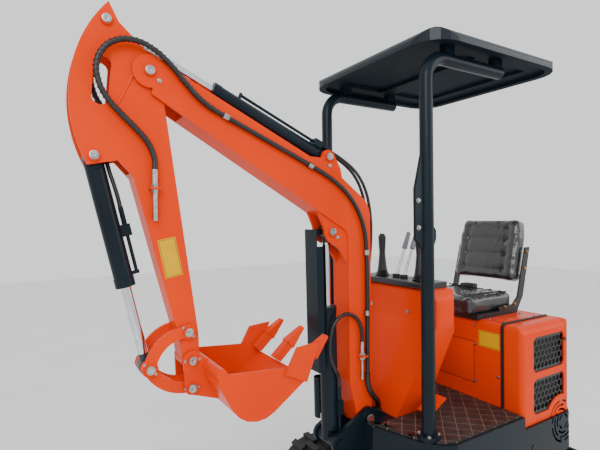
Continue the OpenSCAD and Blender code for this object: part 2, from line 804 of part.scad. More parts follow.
// Console and controls
console_x0 = 95;
console_x1 = 240;
console_hw = 290;
console_foot_x = 330;
console_foot_hw = 135;
console_foot_r = 110;
console_waist_h = 420;
console_r = 60;
dash_t = 26;
dash_lip = 8;
module console() {
  z1 = floor_z + console_h - dash_t;
  color(orange) at_origin()
    intersection() {
      translate([console_x0, 0, 0])
        rotate([90, 0, 90])
          linear_extrude(console_foot_x)
            polygon(rounded([[-console_foot_hw, frame_top], [console_foot_hw, frame_top],
              [console_hw, floor_z + console_waist_h], [console_hw, z1], [-console_hw, z1],
              [-console_hw, floor_z + console_waist_h]],
              [0, 0, console_r * 2, console_r, console_r, console_r * 2]));
      slab(-console_hw, console_hw)
        polygon(rounded([[console_x0 + console_r, frame_top], [console_foot_x, frame_top],
          [console_x1, floor_z + console_waist_h], [console_x1, z1], [console_x0, z1]],
          [0, 0, console_r, console_r / 2, 0]));
      translate([0, 0, frame_top])
        linear_extrude(console_h)
          polygon(rounded([[console_x0, -console_hw], [console_foot_x, -console_hw],
            [console_foot_x, console_hw],
            [console_x0, console_hw]], [console_r, console_foot_r, console_foot_r, console_r]));
    }
}
module dash_panel() {
  hw = console_hw - console_r;
  color(black) at_origin()
    translate([0, 0, floor_z + console_h - dash_t])
      intersection() {
        linear_extrude(dash_t)
          polygon(rounded([[console_x0 - dash_lip, -hw], [console_x1 + dash_lip, -hw],
            [console_x1 + dash_lip, hw], [console_x0 - dash_lip, hw]], alike(4, console_r / 2)));
        slab(-hw, hw)
          polygon(rounded([[console_x0 - dash_lip, 0], [console_x1 + dash_lip, 0],
            [console_x1 + dash_lip, dash_t],
            [console_x0 - dash_lip, dash_t]], [dash_t / 3, dash_t / 3, dash_t / 2, dash_t / 2]));
      }
}
stick_y = 126;
stick_h = 210;
stick_r = 15;
boot_r = 36;
boot_h = 62;
boot_folds = 3;
boot_fold = 4;
grip_h = 96;
stick_x = 168;
module joysticks() {
  color(black) at_origin() both_sides()
    translate([stick_x, stick_y, floor_z + console_h])
      rotate_extrude()
        polygon(concat([[0, 0]],
          [for (k = [0:boot_folds - 1], side = [0, 1, 2])
            [boot_r - k * boot_fold - (side == 1 ? 0 : boot_fold),
              boot_h / 2 * (k + side / 3) / boot_folds]],
          [[stick_r * 1.3, boot_h], [stick_r, stick_h - grip_h], [stick_r * 1.2, stick_h - grip_h / 2],
            [stick_r * 1.3, stick_h - stick_r], [stick_r * 0.7, stick_h], [0, stick_h]]));
}
lever_y = 26;
lever_h = 190;
lever_r = 6;
lever_lean = 22;
lever_grip_r = 13;
lever_grip_tip_r = 10;
lever_grip_l = 84;
module travel_levers() {
  color("#7f8388") at_origin() both_sides()
    translate([stick_x, lever_y, floor_z + console_h]) {
      cylinder(r = boot_r / 2, h = boot_h / 4);
      rotate([0, -lever_lean, 0]) {
        translate([0, 0, lever_r]) cylinder(r = lever_r, h = lever_h - lever_r);
        translate([0, 0, lever_h - lever_grip_l / 2])
          cylinder(r1 = lever_grip_r, r2 = lever_grip_tip_r, h = lever_grip_l);
      }
    }
}
pedal_y = 224;
pedal_w = 76;
pedal_l = 110;
pedal_t = 8;
pedal_h = 60;
pedal_tilt = 28;
pedal_x = 205;
module foot_pedals() {
  color(orange) at_origin() both_sides()
    translate([pedal_x, pedal_y, floor_z]) {
      block([-pedal_t, -pedal_t, 0], [pedal_t, pedal_t, pedal_h]);
      translate([0, 0, pedal_h])
        rotate([0, pedal_tilt, 0])
          block([-pedal_l / 2, -pedal_w / 2, -pedal_t / 2], [pedal_l / 2, pedal_w / 2, pedal_t / 2]);
    }
}

// Seat
seat_w = 400;
seat_x0 = -452;
seat_x1 = -92;
seat_base_h = 22;
cushion_t = 74;
back_h = 350;
back_t = 62;
back_lean = 14;
back_lift = 60;
bracket_t = 8;
bracket_w = 50;
seat_z = hood_top + seat_base_h;
cushion_r = 40;
module seat_base() {
  color(black) at_origin() {
    block([seat_x0, -seat_w / 2 - fit - bracket_t, hood_top],
      [seat_x1 - cushion_r, seat_w / 2 + fit + bracket_t, seat_z]);
    both_sides()
      pair_side()
        polygon([[seat_x0 + bracket_w * 3, hood_top + bracket_t], [seat_x0, hood_top + bracket_t],
          [seat_x0 - bracket_w, seat_z + back_lift], back_point(back_h * 0.72),
            back_point(back_h * 0.72) + [bracket_w * 0.8, 0],
          [seat_x0 - bracket_w * 0.1, seat_z + back_lift],
            [seat_x0 + bracket_w * 0.7, seat_z + bracket_w * 0.5],
          [seat_x0 + bracket_w * 3, seat_z + bracket_w * 0.4]]);
  }
}
module pair_side() {
  slab(seat_w / 2 + fit, seat_w / 2 + fit + bracket_t) children();
}
function back_point(h) = [seat_x0 - bracket_w - h * tan(back_lean), seat_z + back_lift + h];
module seat_cushion() {
  color(black) at_origin()
    translate([0, 0, seat_z])
      linear_extrude(cushion_t)
        polygon(rounded([[seat_x0, -seat_w / 2], [seat_x1, -seat_w / 2], [seat_x1, seat_w / 2],
          [seat_x0, seat_w / 2]],
          alike(4, cushion_r)));
}
module seat_back() {
  color(black) at_origin()
    translate([seat_x0 - bracket_w * 0.5, 0, seat_z + back_lift + back_t])
      rotate([0, -back_lean, 0])
        rotate([90, 0, 90])
          translate([0, 0, -back_t / 2])
            linear_extrude(back_t)
              polygon(rounded([[-seat_w / 2, 0], [seat_w / 2, 0], [seat_w / 2, back_h * 0.7],
                [seat_w / 2 - cushion_r / 2, back_h], [cushion_r / 2 - seat_w / 2, back_h],
                  [-seat_w / 2, back_h * 0.7]],
                alike(6, cushion_r)));
}

// Canopy
flange_r = 46;
flange_t = 14;
bend_r = 100;
rail_l = 470;
rail_drop = 12;
rail_z = floor_z + roof_h - rail_drop - post_d / 2;
splice_z = 750;
splice_h = 400;
splice_w = 42;
splice_t = 12;
roof_rim = 46;
roof_rise = 24;
roof_shoulder_r = 40;
roof_gutter = 18;
roof_liner = 16;
roof_liner_in = 122;
roof_beam = 90;
roof_r = 130;
roof_lead = 45;
roof_lip = 34;
module post(s) {
  r = post_d / 2;
  color(navy) at_origin()
    translate([post_x, s * post_gauge / 2, 0]) {
      translate([0, 0, frame_top]) cylinder(r = flange_r, h = flange_t + mat_t);
      translate([0, 0, frame_top]) cylinder(r = r, h = rail_z - bend_r - frame_top);
      translate([-bend_r, 0, rail_z - bend_r])
        rotate([90, 0, 0])
          rotate_extrude(angle = 90)
            translate([bend_r, 0]) circle(r);
      translate([-bend_r, 0, rail_z])
        rotate([0, -90, 0])
          cylinder(r = r, h = rail_l - bend_r);
      // bolted splice plates on the front of the tube
      slab(-splice_t / 2, splice_t / 2)
        polygon([[0, floor_z + splice_z], [r, floor_z + splice_z],
          [r + splice_w, floor_z + splice_z + splice_w],
          [r + splice_w, floor_z + splice_z + splice_h * 0.6], [r, floor_z + splice_z + splice_h],
          [0, floor_z + splice_z + splice_h], [-r, floor_z + splice_z + splice_w * 2.4],
          [-r - splice_w * 0.45, floor_z + splice_z + splice_w * 1.8],
            [-r - splice_w * 0.45, floor_z + splice_z + splice_w],
          [-r, floor_z + splice_z]]);
      // saddles that hold the roof
      for (x = [bend_r + r, rail_l - r])
        block([-x - r, -r * 0.6, rail_z], [-x + r, r * 0.6, floor_z + roof_h + roof_gutter - fit]);
    }
}
module post_left() { post(1); }
module post_right() { post(-1); }
module roof_plan(inset) {
  x1 = post_x + roof_lead - inset;
  x0 = post_x + roof_lead - roof_l + inset;
  w = roof_w / 2 - inset;
  polygon(rounded([[x0, -w], [x1, -w], [x1, w], [x0, w]], alike(4, roof_r - inset)));
}
// Section of the roof: upright rim, round shoulder, then a crown in three easy bends
function crown(half) = rounded([[-half, 0], [half, 0], [half, roof_rim], [half / 2, roof_rim + roof_rise],
  [-half / 2, roof_rim + roof_rise], [-half, roof_rim]],
    [0, 0, roof_shoulder_r, half * 2, half * 2, roof_shoulder_r]);
module roof_form() {
  intersection() {
    linear_extrude(roof_rim + 2 * roof_rise) roof_plan(0);
    translate([post_x + roof_lead - roof_l / 2, 0, 0])
      slab(-roof_w, roof_w) polygon(crown(roof_l / 2));
    translate([post_x + roof_lead - roof_l, 0, 0])
      rotate([90, 0, 90])
        linear_extrude(roof_l) polygon(crown(roof_w / 2));
  }
}
module canopy_roof() {
  color(navy) at_origin()
    translate([0, 0, floor_z + roof_h])
      difference() {
        roof_form();
        // gutter behind the rim, then the deeper liner with a stiffening frame across it
        translate([0, 0, -overrun]) linear_extrude(roof_gutter + overrun) roof_plan(roof_lip);
        difference() {
          translate([0, 0, roof_gutter - eps]) linear_extrude(roof_liner + eps) roof_plan(roof_liner_in);
          block([post_x + roof_lead - roof_l / 2 - roof_beam / 2, -roof_w, 0],
            [post_x + roof_lead - roof_l / 2 + roof_beam / 2, roof_w, roof_rim * 2]);
        }
      }
}

// Boom
boom_plate = 8;
boom_rear = 36;
boom_front = 87;
fork_l = 165;
foot_r = 46;
tip_r = 56;
boom_ear_t = 14;
rod_side_gap = 6;
boom_ear_in = eye_hw + rod_side_gap;
boom_boss_r = 36;
hook_shares = [[2.75, 3.8], [1.5, 1.1], [0.7, -1.3], [-1.2, -2.3], [-2.9, -5], [-3.2, 1]];
saddle_shares = [[6.4, 1], [3.2, -0.1], [1.2, -0.2], [0.6, 0.85], [-0.9, 0.55], [-2.1, -1.6], [-2.7, -4.5],
  [1, -4.5]];
module boom_outline() {
  polygon(rounded([
    foot + [-boom_rear, 0], foot + [-boom_rear, boom_dz * 0.68], foot + [boom_dx * 0.145, boom_dz * 0.772],
    tip + [-tip_r * 0.5, tip_r * 0.79], tip + [-tip_r * 0.1, -tip_r * 1.35],
    foot + [boom_front, boom_dz * 0.595], foot + [boom_front, boom_front * 2], foot + [foot_r, 0]],
    [0, boom_w, boom_w * 2, 0, 0, boom_w / 2, boom_w / 2, 0]));
  translate(foot) circle(foot_r);
  translate(tip) circle(tip_r);
}
module boom() {
  back = unit(foot + [boom_dx * 0.2, boom_dz * 0.72] - tip);
  side = [-back[1], back[0]];
  color(orange) at_origin() {
    difference() {
      slab(-boom_w / 2, boom_w / 2) boom_outline();
      // fork for the arm
      slab(-boom_w / 2 + boom_plate, boom_w / 2 - boom_plate)
        polygon([tip + back * fork_l + side * fork_l, tip + back * fork_l - side * fork_l,
          tip - back * fork_l - side * fork_l, tip - back * fork_l + side * fork_l]);
      cross_bar(foot, pin_r + fit, -boom_w, boom_w);
    }
    cross_bar(tip, pin_r, -boom_w / 2, boom_w / 2);
    pin_heads(tip, boom_w / 2);
    // ears of the boom cylinder's rod
    pair(boom_ear_in, boom_ear_in + boom_ear_t) {
      polygon(rounded([for (p = hook_shares) boom_cyl_top + eye_r * p],
        [0, eye_r * 2, eye_r, eye_r * 3, 0, 0]));
      translate(boom_cyl_top) circle(boom_boss_r);
    }
    pin_heads(boom_cyl_top, boom_ear_in + boom_ear_t);
    // ears of the arm cylinder's base
    pair(boom_ear_in, boom_ear_in + boom_ear_t) {
      polygon([for (p = saddle_shares) arm_cyl_base + eye_r * p]);
      translate(arm_cyl_base) circle(eye_r);
    }
    cross_bar(arm_cyl_base, pin_r, -boom_ear_in - eps, boom_ear_in + eps);
    pin_heads(arm_cyl_base, boom_ear_in + boom_ear_t);
    // tab that carries the loop hose's bulkhead fitting
    difference() {
      block([loop_x - tab_hw, boom_w / 2 - eps, loop_tab_z],
        [loop_x + tab_hw, loop_y + tab_hw, loop_tab_z + tab_t]);
      translate([loop_x, loop_y, loop_tab_z - overrun])
        cylinder(r = port_pipe_r + fit, h = tab_t + 2 * overrun);
    }
  }
}
tab_hw = 19;
tab_t = 7;
loop_x = 466;
loop_y = 70;
loop_tab_z = 924;
port_at = 112;
port_l = 60;
port_w = 28;
port_y = 42;
port_z = 22;
port_pipe_r = 6;
port_pipe_end = 42;
ferrule_l = 60;
ferrule_wall = 1.5;
shield_at = 76;
shield_l = 176;
shield_r = 30;
shield_t = 3;
shield_y = 55;
shield_z = 8;
shield_cut = 34;
module boom_barrel() {
  color(navy) at_origin() {
    barrel(boom_cyl_base, boom_cyl_top, boom_barrel_d, boom_barrel_l, eye_r, eye_hw, bore_start);
    toward(boom_cyl_base, boom_cyl_top) {
      // port block with its hose tail above, and a pipe down to the blind end
      translate([0, port_y, port_z]) {
        block([port_at, -port_w / 2, -port_w / 2], [port_at + port_l, port_w / 2, port_w / 2]);
        lying(port_at + port_l - overrun, port_at + port_l + ferrule_l, loop_hose_r + ferrule_wall);
        lying(port_pipe_end, port_at + overrun, port_pipe_r);
      }
      translate([port_pipe_end + port_pipe_r, 0, port_z])
        cross_bar([0, 0], port_pipe_r + eps, boom_barrel_d / 3, port_y);
      // half round shield over the far port
      difference() {
        translate([0, -shield_y, -shield_z]) lying(shield_at, shield_at + shield_l, shield_r);
        translate([0, -shield_y, -shield_z])
          lying(shield_at - overrun, shield_at + shield_l + overrun, shield_r - shield_t);
        block([0, -shield_cut, -boom_barrel_d], [boom_barrel_l, boom_barrel_d, boom_barrel_d]);
      }
    }
  }
}
guard_l = 590;
guard_hw = 44;
guard_z = 74;
guard_t = 4;
guard_flange = 29;
guard_bare = 60;
guard_top = 12;
guard_strap_hw = 17;
// Folded plate in front of the boom cylinder's rod, carried by the rod's eye
module rod_guard() {
  reach = span(boom_cyl_base, boom_cyl_top);
  color(navy) at_origin()
    toward(boom_cyl_base, boom_cyl_top) {
      block([reach - guard_l, -guard_hw, -guard_z - guard_t], [reach + guard_top, guard_hw, -guard_z]);
      for (y = [-guard_hw, guard_hw - guard_t])
        block([reach - guard_l, y, -guard_z - eps],
          [reach - guard_bare, y + guard_t, -guard_z + guard_flange]);
      difference() {
        block([reach - guard_top, -guard_strap_hw, -guard_z - eps], [reach + guard_top, guard_strap_hw, 0]);
        translate([reach, 0, 0]) cross_bar([0, 0], boom_eye_r + fit, -guard_hw, guard_hw);
        block([reach - guard_top - overrun, -guard_hw, -boom_eye_r / 3],
          [reach + guard_top + overrun, guard_hw, overrun]);
      }
    }
}
module boom_rod() {
  color(chrome) at_origin()
    piston_rod(boom_cyl_base, boom_cyl_top, boom_rod_l, boom_eye_r, eye_hw, boom_ear_in - fit);
}
arm_port_x = 34;
arm_port_l = 40;
arm_port_z = 40;
arm_port_hw = 24;
arm_hose_y = 12;
arm_pipe_x = 436;
arm_pipe_rise = 4;
module arm_barrel() {
  color(navy) at_origin() {
    barrel(arm_cyl_base, arm_cyl_top, arm_barrel_d, arm_barrel_l, eye_r, eye_hw, bore_start);
    toward(arm_cyl_base, arm_cyl_top) {
      // port block with two hose tails, and the pipe along the top to the rod end
      block([arm_port_x, -arm_port_hw, arm_barrel_d / 2 - port_pipe_r],
        [arm_port_x + arm_port_l, arm_port_hw, arm_port_z + port_w / 2]);
      for (y = [-arm_hose_y, arm_hose_y])
        translate([0, y, arm_port_z]) lying(arm_port_x - ferrule_l, arm_port_x + overrun,
          thin_hose_r + ferrule_wall);
      translate([0, 0, arm_port_z + arm_pipe_rise])
        lying(arm_port_x + arm_port_l - overrun, arm_pipe_x, port_pipe_r);
      translate([arm_pipe_x, 0, arm_barrel_d / 2 - overrun])
        cylinder(r = port_pipe_r + eps, h = arm_port_z + arm_pipe_rise + port_pipe_r - arm_barrel_d / 2
          + 2 * overrun);
    }
  }
}
module arm_rod() {
  color(chrome) at_origin()
    piston_rod(arm_cyl_base, arm_cyl_top, arm_rod_l, eye_r, eye_hw, arm_w / 2 - arm_plate - fit);
}

// Arm
arm_plate = 8;
arm_tip_r = 34;
arm_pivot_r = 46;
arm_front = 46;
head_r = 38;
hole_r = 26;
module arm_head() {
  intersection() {
    translate(head_arc_c) circle(head_arc_r, $fn = 144);
    polygon([arm_cyl_top + [-head_r, 0], arm_cyl_top + [head_r, head_r * 4],
      bucket_cyl_top + [head_r * 6, 0],
      bucket_cyl_top + [head_r * 0.5, -head_r * 0.8], bucket_cyl_top + [-head_r * 1.9, -head_r * 0.3],
      tip + [head_r * 1.4, -arm_dz * 0.36], tip + [-arm_pivot_r * 0.9, -arm_dz * 0.1],
        tip + [-arm_pivot_r * 0.6, arm_pivot_r * 0.8]]);
  }
  translate(tip) circle(arm_pivot_r);
}
bulkhead_back = 11;
bulkhead_drop = 389;
bulkhead_y = 58;
bulkhead = tip - [bulkhead_back, bulkhead_drop];
module arm_body() {
  polygon([tip + [-arm_pivot_r * 0.8, 0], tip + [arm_pivot_r * 1.6, 0],
    tip + [head_r * 1.45, -arm_dz * 0.355],
    rocker_pin + [arm_tip_r, 0], bucket_pin + [arm_tip_r * 0.9, 0], bucket_pin + [-arm_tip_r * 0.9, 0],
    rocker_pin + [-arm_tip_r * 1.2, -arm_tip_r * 0.4]]);
  translate(bucket_pin) circle(arm_tip_r);
}
module arm() {
  color(orange) at_origin() {
    difference() {
      slab(-arm_w / 2, arm_w / 2) {
        arm_head();
        arm_body();
      }
      // open head between the two plates
      slab(-arm_w / 2 + arm_plate, arm_w / 2 - arm_plate)
        polygon([tip + [-head_r * 5, head_r * 8], tip + [head_r * 8, head_r * 8],
          bucket_cyl_top + [head_r * 4, -head_r * 2],
          bucket_cyl_top + [-head_r * 1.8, -head_r * 2], tip + [-head_r * 5, -arm_dz * 0.2]]);
      slab(-arm_w, arm_w)
        bar(tip + [arm_front * 3.1, arm_front * 0.1], tip + [arm_front * 3.3, -arm_front * 2.2], hole_r,
          hole_r);
      cross_bar(tip, pin_r + fit, -arm_w, arm_w);
    }
    difference() {
      cross_bar(tip, arm_pivot_r - overrun, -arm_w / 2 + arm_plate, arm_w / 2 - arm_plate);
      cross_bar(tip, pin_r + fit, -arm_w, arm_w);
    }
    pin_heads(arm_cyl_top, arm_w / 2);
    cross_bar(bucket_cyl_top, pin_r, -arm_w / 2, arm_w / 2);
    pin_heads(bucket_cyl_top, arm_w / 2);
    pin_heads(rocker_pin, side_out + fit);
    // tabs that carry the hoses' bulkhead fittings
    both_sides()
      difference() {
        block([bulkhead[0] - tab_hw, arm_w / 2 - eps, bulkhead[1] - tab_t],
          [bulkhead[0] + tab_hw, bulkhead_y + tab_hw, bulkhead[1]]);
        translate([bulkhead[0], bulkhead_y, bulkhead[1] - tab_t - overrun])
          cylinder(r = hose_r + fit, h = tab_t + 2 * overrun);
      }
    cross_bar(bucket_pin, pin_r, -side_out - overrun, side_out + overrun);
    cross_bar(rocker_pin, pin_r, -side_out - overrun, side_out + overrun);
    pin_heads(bucket_pin, side_out + fit);
  }
}

// Bucket linkage
side_gap = 4;
side_in = arm_w / 2 + side_gap;
side_t = 12;
side_out = side_in + side_t;
link_gap = 1;
link_in = eye_hw + link_gap;
link_t = 13;
link_r = 26;
rocker_r = 27;
rocker_hw = 20;
rocker_bulge = 34;
link_hw = 21;
link_bulge = 26;
bucket_port_x = 236;
bucket_port_l = 40;
bucket_port_z = 46;
bucket_pipe_x = 402;
module bucket_barrel() {
  color(navy) at_origin() {
    barrel(bucket_cyl_top, rod_pin, bucket_barrel_d, bucket_barrel_l, eye_r, eye_hw, bore_start);
    toward(bucket_cyl_top, rod_pin) {
      // port block with its hose tail, and the pipe down to the rod end
      block([bucket_port_x, -port_w / 2, -bucket_port_z - port_w / 2],
        [bucket_port_x + bucket_port_l, port_w / 2, port_pipe_r - bucket_barrel_d / 2]);
      translate([0, 0, -bucket_port_z]) {
        lying(bucket_port_x - ferrule_l, bucket_port_x + overrun, thin_hose_r + ferrule_wall);
        lying(bucket_port_x + bucket_port_l - overrun, bucket_pipe_x, port_pipe_r);
      }
      translate([bucket_pipe_x, 0, -bucket_port_z - port_pipe_r - overrun])
        cylinder(r = port_pipe_r + eps, h = bucket_port_z - bucket_barrel_d / 2 + port_pipe_r
          + 2 * overrun);
    }
  }
}
module bucket_rod() {
  color(chrome) at_origin()
    piston_rod(bucket_cyl_top, rod_pin, bucket_rod_l, eye_r - overrun, eye_hw - overrun, link_in - fit);
}
module rocker() {
  color(orange) at_origin() {
    difference() {
      pair(side_in, side_out) arched(rod_pin, rocker_pin, rocker_hw, rocker_r, -rocker_bulge);
      cross_bar(rocker_pin, pin_r + fit, -side_out - overrun, side_out + overrun);
    }
    pin_heads(rod_pin, side_out);
    for (s = [-1, 1])
      cross_bar(rod_pin, pin_r, s * (side_in + link_in + link_t + fit) / 2
        - (side_in - link_in - link_t - fit) / 2,
        s * (side_in + link_in + link_t + fit) / 2 + (side_in - link_in - link_t - fit) / 2);
  }
}
module bucket_link() {
  color(orange) at_origin()
    difference() {
      union() {
        pair(link_in, link_in + link_t) arched(link_pin, rod_pin, link_hw, link_r, -link_bulge);
        cross_bar((rod_pin + link_pin) / 2
          + link_bulge * unit([rod_pin[1] - link_pin[1], link_pin[0] - rod_pin[0]]),
          pin_r, -link_in - eps, link_in + eps);
      }
      cross_bar(link_pin, pin_r + fit, -side_out, side_out);
    }
}

// Bucket
bucket_t = 8;
bucket_l = 392;
mouth_rear_shares = [-0.14, -0.064];
back_turn_shares = [-0.094, -0.135];
belly_shares = [-0.383, -0.661];
lip_shares = [-1, -0.245];
mouth_front_shares = [-0.842, -0.122];
mouth_rear = bucket_l * mouth_rear_shares;
back_turn = bucket_l * back_turn_shares;
belly = bucket_l * belly_shares;
lip = bucket_l * lip_shares;
mouth_front = bucket_l * mouth_front_shares;
belly_r = 110;
back_r = 26;
ear_w = side_t;
ear_boss_r = 32;
module bucket_outline() {
  o = bucket_pin;
  polygon(rounded([o + mouth_rear, o + back_turn, o + belly, o + lip, o + mouth_front],
    [0, back_r, belly_r, 0, 0]));
}
module bucket() {
  o = bucket_pin;
  color(orange) at_origin() {
    difference() {
      slab(-bucket_w / 2, bucket_w / 2) bucket_outline();
      slab(-bucket_w / 2 + bucket_t, bucket_w / 2 - bucket_t)
        polygon(rounded([o + mouth_rear + [-bucket_t, bucket_t * 4], o + back_turn + [-bucket_t * 1.4, 0],
          o + belly + [0, bucket_t * 1.5],
          o + lip + [-bucket_t * 2, bucket_t * 3], o + mouth_front + [-bucket_t * 8, bucket_t * 8]],
          [0, back_r - bucket_t, belly_r - bucket_t, 0, 0]));
    }
    // ears for the bucket pin and the link pin
    difference() {
      pair(side_in, side_in + ear_w) {
        bar(o, link_pin, ear_boss_r, ear_boss_r * 0.8);
        polygon([o + [0, ear_boss_r], o + mouth_rear + [-ear_boss_r, 0], o + (back_turn + belly) / 2,
          link_pin + [0, -ear_boss_r * 0.8], link_pin, o]);
      }
      cross_bar(o, pin_r + fit, -bucket_w, bucket_w);
    }
    cross_bar(link_pin, pin_r, -side_in - eps, side_in + eps);
    pin_heads(link_pin, side_in + ear_w);
    // torque tube along the back edge
    cross_bar(o + mouth_rear, ear_boss_r * 0.6, -bucket_w / 2, bucket_w / 2);
  }
}
tooth_w = 46;
tooth_tip_w = 30;
tooth_rise = 41;
tooth_count = 3;
tooth_t = 34;
tooth_nib = 10;
cap_l = 92;
adapter_w = 36;
adapter_root = 44;
cutter_t = 10;
cap_share = 0.62;
cutter_shares = [[-0.97, -0.28], [-1.12, 0.08], [-0.87, 0.06], [-0.74, -0.17]];
// One tooth along its own axis: adapter on the lip, then a pointed cap
module tooth(length) {
  slab(-adapter_w / 2, adapter_w / 2)
    polygon([[-adapter_root, -tooth_t / 4], [0, -tooth_t / 2], [length - cap_l + overrun, -tooth_t / 2],
      [length - cap_l + overrun, tooth_t / 2], [0, tooth_t / 2]]);
  intersection() {
    slab(-tooth_w / 2, tooth_w / 2)
      polygon([[length - cap_l, -tooth_t * cap_share], [length, -tooth_nib / 2], [length, tooth_nib / 2],
        [length - cap_l, tooth_t * cap_share]]);
    translate([0, 0, -tooth_t])
      linear_extrude(2 * tooth_t)
        polygon([[length - cap_l, -tooth_w / 2], [length, -tooth_tip_w / 2], [length, tooth_tip_w / 2],
          [length - cap_l, tooth_w / 2]]);
  }
}
module bucket_teeth() {
  o = bucket_pin;
  tooth_tip = o + [-tooth_reach, tooth_rise];
  root = o + (lip + mouth_front) / 2;
  color(orange) at_origin() {
    difference() {
      for (i = [0:tooth_count - 1])
        translate([0, (i - (tooth_count - 1) / 2) * (bucket_w - tooth_w) / (tooth_count - 1), 0])
          toward(root, tooth_tip) tooth(norm(tooth_tip - root));
      slab(-bucket_w, bucket_w) bucket_outline();
    }
    pair(bucket_w / 2, bucket_w / 2 + cutter_t)
      polygon([for (p = cutter_shares) o + bucket_l * p]);
  }
}

// Hoses and what holds them
hose_r = 9;
loop_hose_r = 8;
thin_hose_r = 7;
sleeve_r = 12;
hose_gap = 0.1;
hose_lead = 34;
clamp_r = 12;
clamp_l = 22;
nut_r = 13;
nut_h = 10;
hose_y = boom_w / 2 + clamp_r + fit;
gland_x = 352;
gland_y = 40;
gland_h = 16;
gland_r = 18;
rear_block_z = 1150;
rear_block_h = 40;
rear_block_t = 24;
rear_block_hw = 30;
fork_block_x = 1480;
fork_block_y = 18;
fork_block_z = 1800;
fork_block_hw = 15;
elbow_l = 94;
boom_route = [[1098, 1908], [702, 1736], [640, 1707], [585, 1674], [535, 1634], [494, 1586], [462, 1530],
  [442, 1468], [434, 1400], [434, 846]];
arm_route = [[1184, 69, 1956], [1234, 70, 2004], [1286, 71, 2058], [1341, 72, 2098], [1404, 71, 2116],
  [1458, 69, 2104], [1496, 67, 2070], [1514, 65, 2024], [1510, 63, 1974], [1487, 61, 1924],
    [1444, 60, 1876],
  [1398, 59, 1832], [1360, 58, 1788]];
foot_route = [[425, 69, 772], [403, 69, 738], [378, 62, 712], [360, 48, 692]];
loop_route = [[473, 70, 1058], [490, 69, 1090], [518, 68, 1112], [551, 67, 1119], [585, 65, 1108],
  [611, 62, 1078],
  [625, 58, 1034], [627, 55, 982], [617, 52, 930], [596, 50, 884]];
arm_cylinder_route = [[500, 12, 1776], [456, 13, 1745], [420, 14, 1706], [392, 15, 1656], [374, 15, 1600],
  [364, 15, 1540],
  [361, 15, 1470], [366, 15, 1390], [376, 14, 1310]];
bucket_route = [[1459, -3, 1652], [1471, -9, 1694], [1479, -14, 1734]];
clamp_places = [[0, 0.035], [0, 0.95], [8, 0.04], [8, 0.52]];

module clamp() {
  translate([0, hose_y, 0])
    difference() {
      union() {
        lying(-clamp_l / 2, clamp_l / 2, clamp_r);
        block([-clamp_l / 2, boom_w / 2 - hose_y, eps - clamp_r], [clamp_l / 2, 0, clamp_r - eps]);
      }
      lying(-clamp_l, clamp_l, hose_r + fit);
    }
}
// Upright bulkhead fitting: hose tail on top, nuts on both faces of a tab, elbow into the plate beside it
module bulkhead_fitting(tail_r, pipe_r, y_plate, y) {
  cylinder(r = tail_r, h = ferrule_l);
  cylinder(r = nut_r, h = nut_h, $fn = 6);
  translate([0, 0, -tab_t - nut_h]) cylinder(r = nut_r, h = nut_h, $fn = 6);
  translate([0, 0, -elbow_l - 2 * pipe_r]) cylinder(r = pipe_r, h = elbow_l + 2 * pipe_r + eps);
  translate([0, 0, -elbow_l]) rotate([90, 0, 0]) cylinder(r = pipe_r - eps, h = y - y_plate);
}
module boom_fittings() {
  color(steel) at_origin() {
    both_sides()
      for (c = clamp_places)
        let (a = boom_route[c[0]], b = boom_route[c[0] + 1])
          toward(a + (b - a) * c[1], b) clamp();
    translate([loop_x, loop_y, loop_tab_z + tab_t])
      bulkhead_fitting(loop_hose_r + ferrule_wall, port_pipe_r, boom_w / 2, loop_y);
    // junction of the arm cylinder's hoses on the boom's rear face
    block([foot[0] - boom_rear - rear_block_t, -rear_block_hw, rear_block_z],
      [foot[0] - boom_rear, rear_block_hw, rear_block_z + rear_block_h]);
  }
}
module arm_fittings() {
  color(steel) at_origin() {
    both_sides()
      translate([bulkhead[0], bulkhead_y, bulkhead[1]])
        bulkhead_fitting(hose_r + ferrule_wall, hose_r, arm_w / 2, bulkhead_y);
    // junction of the bucket cylinder's hose inside the arm's head
    block([fork_block_x - fork_block_hw, arm_plate - arm_w / 2, fork_block_z],
      [fork_block_x + fork_block_hw, fork_block_hw - fork_block_y, fork_block_z + 2 * fork_block_hw]);
  }
}
module deck_glands() {
  color(black) at_origin() both_sides()
    translate([gland_x, gland_y, frame_top])
      cylinder(r1 = gland_r, r2 = sleeve_r + ferrule_wall, h = gland_h);
}
function mirrored(route) = [for (p = route) [p[0], -p[1], p[2]]];
boom_line = [for (p = boom_route) [p[0], hose_y, p[1]]];
arm_line = concat([for (x = [hose_gap, hose_lead]) boom_line[0] + x * unit(boom_line[0] - boom_line[1])],
  arm_route,
  [for (z = [hose_lead, hose_gap]) [bulkhead[0], bulkhead_y, bulkhead[1] + ferrule_l + z]]);
foot_line = concat([for (z = [0, hose_lead]) boom_line[9] - [0, 0, z]], foot_route,
  [for (z = [sleeve_r, hose_gap]) [gland_x, gland_y, frame_top + gland_h + z]]);
loop_line = concat([for (z = [0, hose_lead]) [loop_x, loop_y, loop_tab_z + tab_t + ferrule_l + z]],
  loop_route,
  [for (x = [hose_lead, hose_gap]) in_frame(boom_cyl_base, boom_cyl_top,
    [port_at + port_l + ferrule_l + x, port_y, port_z])]);
arm_cylinder_line = concat(
  [for (x = [hose_gap, hose_lead]) in_frame(arm_cyl_base, arm_cyl_top,
    [arm_port_x - ferrule_l - x, arm_hose_y, arm_port_z])],
  arm_cylinder_route,
  [for (z = [hose_lead, hose_gap]) [foot[0] - boom_rear - rear_block_t / 2, arm_hose_y,
    rear_block_z + rear_block_h + z]]);
bucket_line = concat(
  [for (x = [hose_gap, hose_lead]) in_frame(bucket_cyl_top, rod_pin,
    [bucket_port_x - ferrule_l - x, 0, -bucket_port_z])],
  bucket_route,
  [for (z = [hose_lead, hose_gap]) [fork_block_x, -fork_block_y, fork_block_z - z]]);
